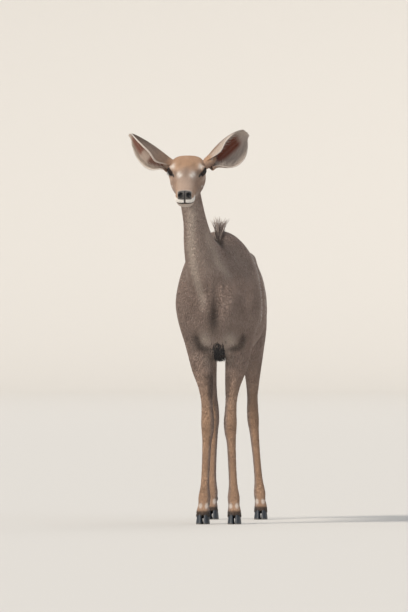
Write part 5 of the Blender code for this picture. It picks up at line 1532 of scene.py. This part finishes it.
first[pale] = np.clip(np.array((0.2, 0.5, 0.05, 0.0)) * chance.uniform(0.7, 1.2, (pale.sum(), 4)), 0, 1)
first[share < 0.25, 2] += 0.25 * (upright[share < 0.25] < 0.6)
crest = long_hair("coat_crest", roots, normals, ways, length, chance.uniform(0.0014, 0.0024, count), bend,
                  np.clip(first, 0, 1), second, boxed(roots[:, 0] * 8 + 0.5, share / 1.3))
print("mane of", MANE_STRANDS, "and crest of", count, "strands")

# %% Hair of breast, tail and ears
chance = np.random.default_rng(22)
lengthwise = chance.uniform(-0.150, 0.085, BREAST_STRANDS)
inside = np.column_stack([chance.normal(0, 0.014, BREAST_STRANDS), lengthwise, np.full(BREAST_STRANDS, 0.80)])
roots, normals = cast(inside, np.tile((0.0, 0.0, -1.0), (BREAST_STRANDS, 1)))
ways = np.array((0.0, 0.35, -0.70)) + normals * 0.35 + chance.normal(0, 0.24, (BREAST_STRANDS, 3))
breast = long_hair("coat_breast", roots, normals, ways, chance.uniform(0.014, 0.026, BREAST_STRANDS),
                   np.full(BREAST_STRANDS, 0.0019),
                   np.tile((0.0, 0.25, 0.05), (BREAST_STRANDS, 1)), *hair_marks(BREAST_STRANDS, black=1.0),
                   boxed(roots[:, 0] * 6 + 0.5, (roots[:, 1] + 0.16) / 0.26))

chance = np.random.default_rng(23)
roots, normals = scatter(tail_part * 62000.0 * THIN)
count = len(roots)
lower = step(roots[:, 2], 1.02, 0.78)
ways = (normals * (0.42 - 0.14 * lower)[:, None] + np.array((0.0, 0.02, -1.0))
        + chance.normal(0, 0.07, (count, 3)))
length = (0.040 + 0.070 * lower) * chance.uniform(0.75, 1.15, count)
first, second = marks_and_painted_light(roots, normals)
tip = step(roots[:, 2], 0.80, 0.75)
first[:, 3] = tip
second[:, 0] = ((1 - tip) * np.maximum(step(np.abs(normals[:, 0]), 0.35, 0.75),
                                       step(-normals[:, 1], 0.0, 0.5)) * 0.9)
brush = long_hair("coat_tail", roots, normals, ways, length, chance.uniform(0.0016, 0.0026, count),
                  np.tile((0.0, 0.02, -0.10), (count, 1)) - normals * 0.22,
                  first, second, boxed(np.arctan2(normals[:, 0], normals[:, 1]) / 6.3 + 0.5,
                                       (roots[:, 2] - 0.7) / 0.4))

inner = np.zeros(len(MIDDLES))
for side in (1, -1):
    span, turn, depth, inward = ear_places(MIDDLES, side)
    cup = ((ear_share(MIDDLES, side) > 0.5) & ((OUTWARD * inward).sum(1) > 0.3) & (np.abs(turn) < 0.94)
           & (span < 0.84))
    cup = cup & (np.where(turn > 0, turn, -turn * side) > (0.40 if side > 0 else 0.78))
    inner = np.maximum(inner, cup * (0.4 + 0.6 * step(np.abs(turn), 0.45, 0.85)))
chance = np.random.default_rng(24)
roots, normals = scatter(inner * 34000.0 * THIN)
count = len(roots)
ways, bend = np.zeros((count, 3)), np.zeros((count, 3))
for side in (1, -1):
    root, way, along, opens, across = (np.array(v) for v in ear_frame(side))
    span, turn, depth, inward = ear_places(roots, side)
    here = ear_share(roots, side)[:, None] > 0.5
    lean = along * 0.85 + inward * 0.16 - across * (np.sign(turn) * 0.50)[:, None]
    ways = np.where(here, lean, ways)
    bend = np.where(here, inward * 0.10 + along * 0.05, bend)
ways += chance.normal(0, 0.12, (count, 3))
ear_hair = long_hair("coat_ear_hair", roots, normals, ways, chance.uniform(0.014, 0.030, count),
                     chance.uniform(0.0009, 0.0015, count), bend,
                     *hair_marks(count, tan=0.12, cream=0.80, white=0.12), ear_map(roots))
print("tail of", len(brush.data.polygons) // 22, "strands, ears of", count)

# %% Eyelashes
LASHES = 30
chance = np.random.default_rng(25)


def lashes(name, side):
    """A row of curved lashes along the upper lid."""
    centre, ways = eye_frame(side)
    centre, (along, up, gaze) = np.array(centre), (np.array(v) for v in ways)
    c = np.linspace(-0.86, 0.80, LASHES) + chance.normal(0, 0.008, LASHES)
    s = np.sqrt(1 - c * c)
    flat = (along * (c * EYE_OPENING[0])[:, None] + up * (s * EYE_OPENING[1] * (1 - 0.25 * c * c + 0.06 * c)
                                                          + 0.0008 - SLIT_DROP)[:, None])
    out = np.sqrt(np.maximum((EYE_RADIUS + 0.0016) ** 2 - (flat ** 2).sum(1), 0))
    roots = centre + flat + gaze * out[:, None]
    ways = gaze * 0.85 + up * 0.30 + along * (c * 0.35)[:, None]
    bend = up * 0.45 + along * 0.0
    return long_hair(name, roots, np.tile(up, (LASHES, 1)), ways, chance.uniform(0.0075, 0.0115, LASHES),
                     np.full(LASHES, 0.00075),
                     np.tile(bend, (LASHES, 1)), *hair_marks(LASHES, dark=0.4, black=1.0),
                     boxed(c * 0.45 + 0.5, np.full(LASHES, 0.5)))


lash_pieces = [lashes("lashes_left", 1), lashes("lashes_right", -1)]
coat += [mane, crest, breast, brush, ear_hair] + lash_pieces
print(len(coat), "coat pieces,", sum(len(piece.data.polygons) for piece in coat), "triangles")

# %% [markdown]
# ## Eyes and horn
# The eye is a wet dark ball: a brown iris so deep that it reads as black, and a pupil that lies level
# along the slit. A clear coat gives the small bright reflection. Hooves and dewclaws are horn: slate
# grey, dull, with fine growth lines level with the hair line, and worn paler at the edge that meets the
# ground.

# %% Eyes and horn
def eyeball(name, side):
    """An eyeball that knows, at each point, its place along the slit, up, and out along the gaze."""
    centre, ways = eye_frame(side)
    made = ball(name, centre, [EYE_RADIUS] * 3, ways, 48, 32)
    away = (points_of(made) - np.array(centre)) / EYE_RADIUS
    place = np.column_stack([away @ np.array(way) * 0.5 + 0.5 for way in ways] + [np.ones(len(away))])
    attribute = made.data.color_attributes.new("eye_place", "FLOAT_COLOR", "POINT")
    attribute.data.foreach_set("color", place.astype(np.float32).ravel())
    made.data.shade_smooth()
    return made


eyes = [eyeball("eyeball_left", 1), eyeball("eyeball_right", -1)]
wet_eye, tree, shader = new_material("wet dark eye")
place = add(tree, "ShaderNodeAttribute", {"attribute_name": "eye_place"}).outputs["Vector"]
spread = add(tree, "ShaderNodeVectorMath", {"operation": "MULTIPLY_ADD"}, _0=place, _1=(2.0, 2.0, 0.0),
             _2=(-1.0, -1.0, 0.0))
iris_reach = add(tree, "ShaderNodeVectorMath", {"operation": "LENGTH"}, _0=spread.outputs[0])
slit = add(tree, "ShaderNodeVectorMath", {"operation": "MULTIPLY"}, _0=spread.outputs[0], _1=(2.2, 4.2, 0.0))
slit_reach = add(tree, "ShaderNodeVectorMath", {"operation": "LENGTH"}, _0=slit.outputs[0])
pupil = add(tree, "ShaderNodeMapRange", Value=slit_reach.outputs["Value"], From_Min=0.92, From_Max=1.08,
            To_Min=1.0, To_Max=0.0)
edge = add(tree, "ShaderNodeMapRange", Value=iris_reach.outputs["Value"], From_Min=0.58, From_Max=0.72,
           To_Min=0.0, To_Max=1.0)
fibres = add(tree, "ShaderNodeTexNoise", Vector=place, Scale=26.0, Detail=3.0)      # about 1.5 mm on the ball
iris = add(tree, "ShaderNodeMix", {"data_type": "RGBA"}, _0=fibres.outputs["Fac"], _6=colour("#1d120d"),
           _7=colour("#3a2317"))
shown = add(tree, "ShaderNodeMix", {"data_type": "RGBA"}, _0=edge.outputs[0], _6=iris.outputs[2],
            _7=colour("#120d0b"))
shown = add(tree, "ShaderNodeMix", {"data_type": "RGBA"}, _0=pupil.outputs[0], _6=shown.outputs[2],
            _7=colour("#050506"))
tree.links.new(shown.outputs[2], shader.inputs["Base Color"])
shader.inputs["Roughness"].default_value = 0.30
shader.inputs["Specular IOR Level"].default_value = 0.10
shader.inputs["Coat Weight"].default_value = 0.45
shader.inputs["Coat Roughness"].default_value = 0.04

horn, tree, shader = new_material("slate hoof horn")
place = add(tree, "ShaderNodeTexCoord").outputs["Object"]
height = add(tree, "ShaderNodeSeparateXYZ", Vector=place)
lines = add(tree, "ShaderNodeMapping", Vector=place, Scale=(30.0, 90.0, 420.0))
# lines about 2.4 mm apart
growth = add(tree, "ShaderNodeTexNoise", Vector=lines.outputs[0], Scale=1.0, Detail=3.0)
blotch = add(tree, "ShaderNodeTexNoise", Vector=place, Scale=60.0, Detail=2.0)                 # about 16 mm
mixed = add(tree, "ShaderNodeMath", {"operation": "MULTIPLY_ADD", "use_clamp": True},
            _0=growth.outputs["Fac"], _1=0.7, _2=-0.05)
worn = add(tree, "ShaderNodeMapRange", Value=height.outputs["Z"], From_Min=0.001, From_Max=0.007, To_Min=0.75,
           To_Max=0.0)
shown = add(tree, "ShaderNodeMix", {"data_type": "RGBA"}, _0=mixed.outputs[0], _6=colour("#1f242b"),
            _7=colour("#3d4650"))
shown = add(tree, "ShaderNodeMix", {"data_type": "RGBA"}, _0=worn.outputs[0], _6=shown.outputs[2],
            _7=colour("#6f6a63"))
tree.links.new(shown.outputs[2], shader.inputs["Base Color"])
dull = add(tree, "ShaderNodeMapRange", Value=blotch.outputs["Fac"], From_Min=0.3, From_Max=0.7, To_Min=0.42,
           To_Max=0.62)
tree.links.new(dull.outputs[0], shader.inputs["Roughness"])
bump = add(tree, "ShaderNodeBump", Height=growth.outputs["Fac"], Strength=0.35, Distance=0.0006)
tree.links.new(bump.outputs[0], shader.inputs["Normal"])
print("eyes and horn finished")

# %% [markdown]
# ## Set in place
# Every piece gets its finish, rides on the animal's one body and stands for the CAD nodes that it
# replaces.

# %% Close
def dress(obj, material):
    """Gives a piece its finish and sets it riding on the body."""
    obj.data.materials.clear()
    obj.data.materials.append(material)
    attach(obj, "root")


home(skin)
skin.data.shade_smooth()
FLESH = ["torso", "neck", "head", "ear_left", "ear_right", "tail"]
FLESH += [f"{place}_leg_{part}_{word}" for place in ("fore", "hind") for part in ("upper", "lower")
          for word in ("left", "right")]
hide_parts(*FLESH)
dress(skin, skin_finish)
for piece in horn_pieces:
    dress(piece, horn)
for piece in coat:
    dress(home(piece), hair_finish)
for piece, node in zip(eyes, ("eye_left", "eye_right")):
    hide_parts(node)
    dress(home(piece), wet_eye)
bpy.context.view_layer.update()
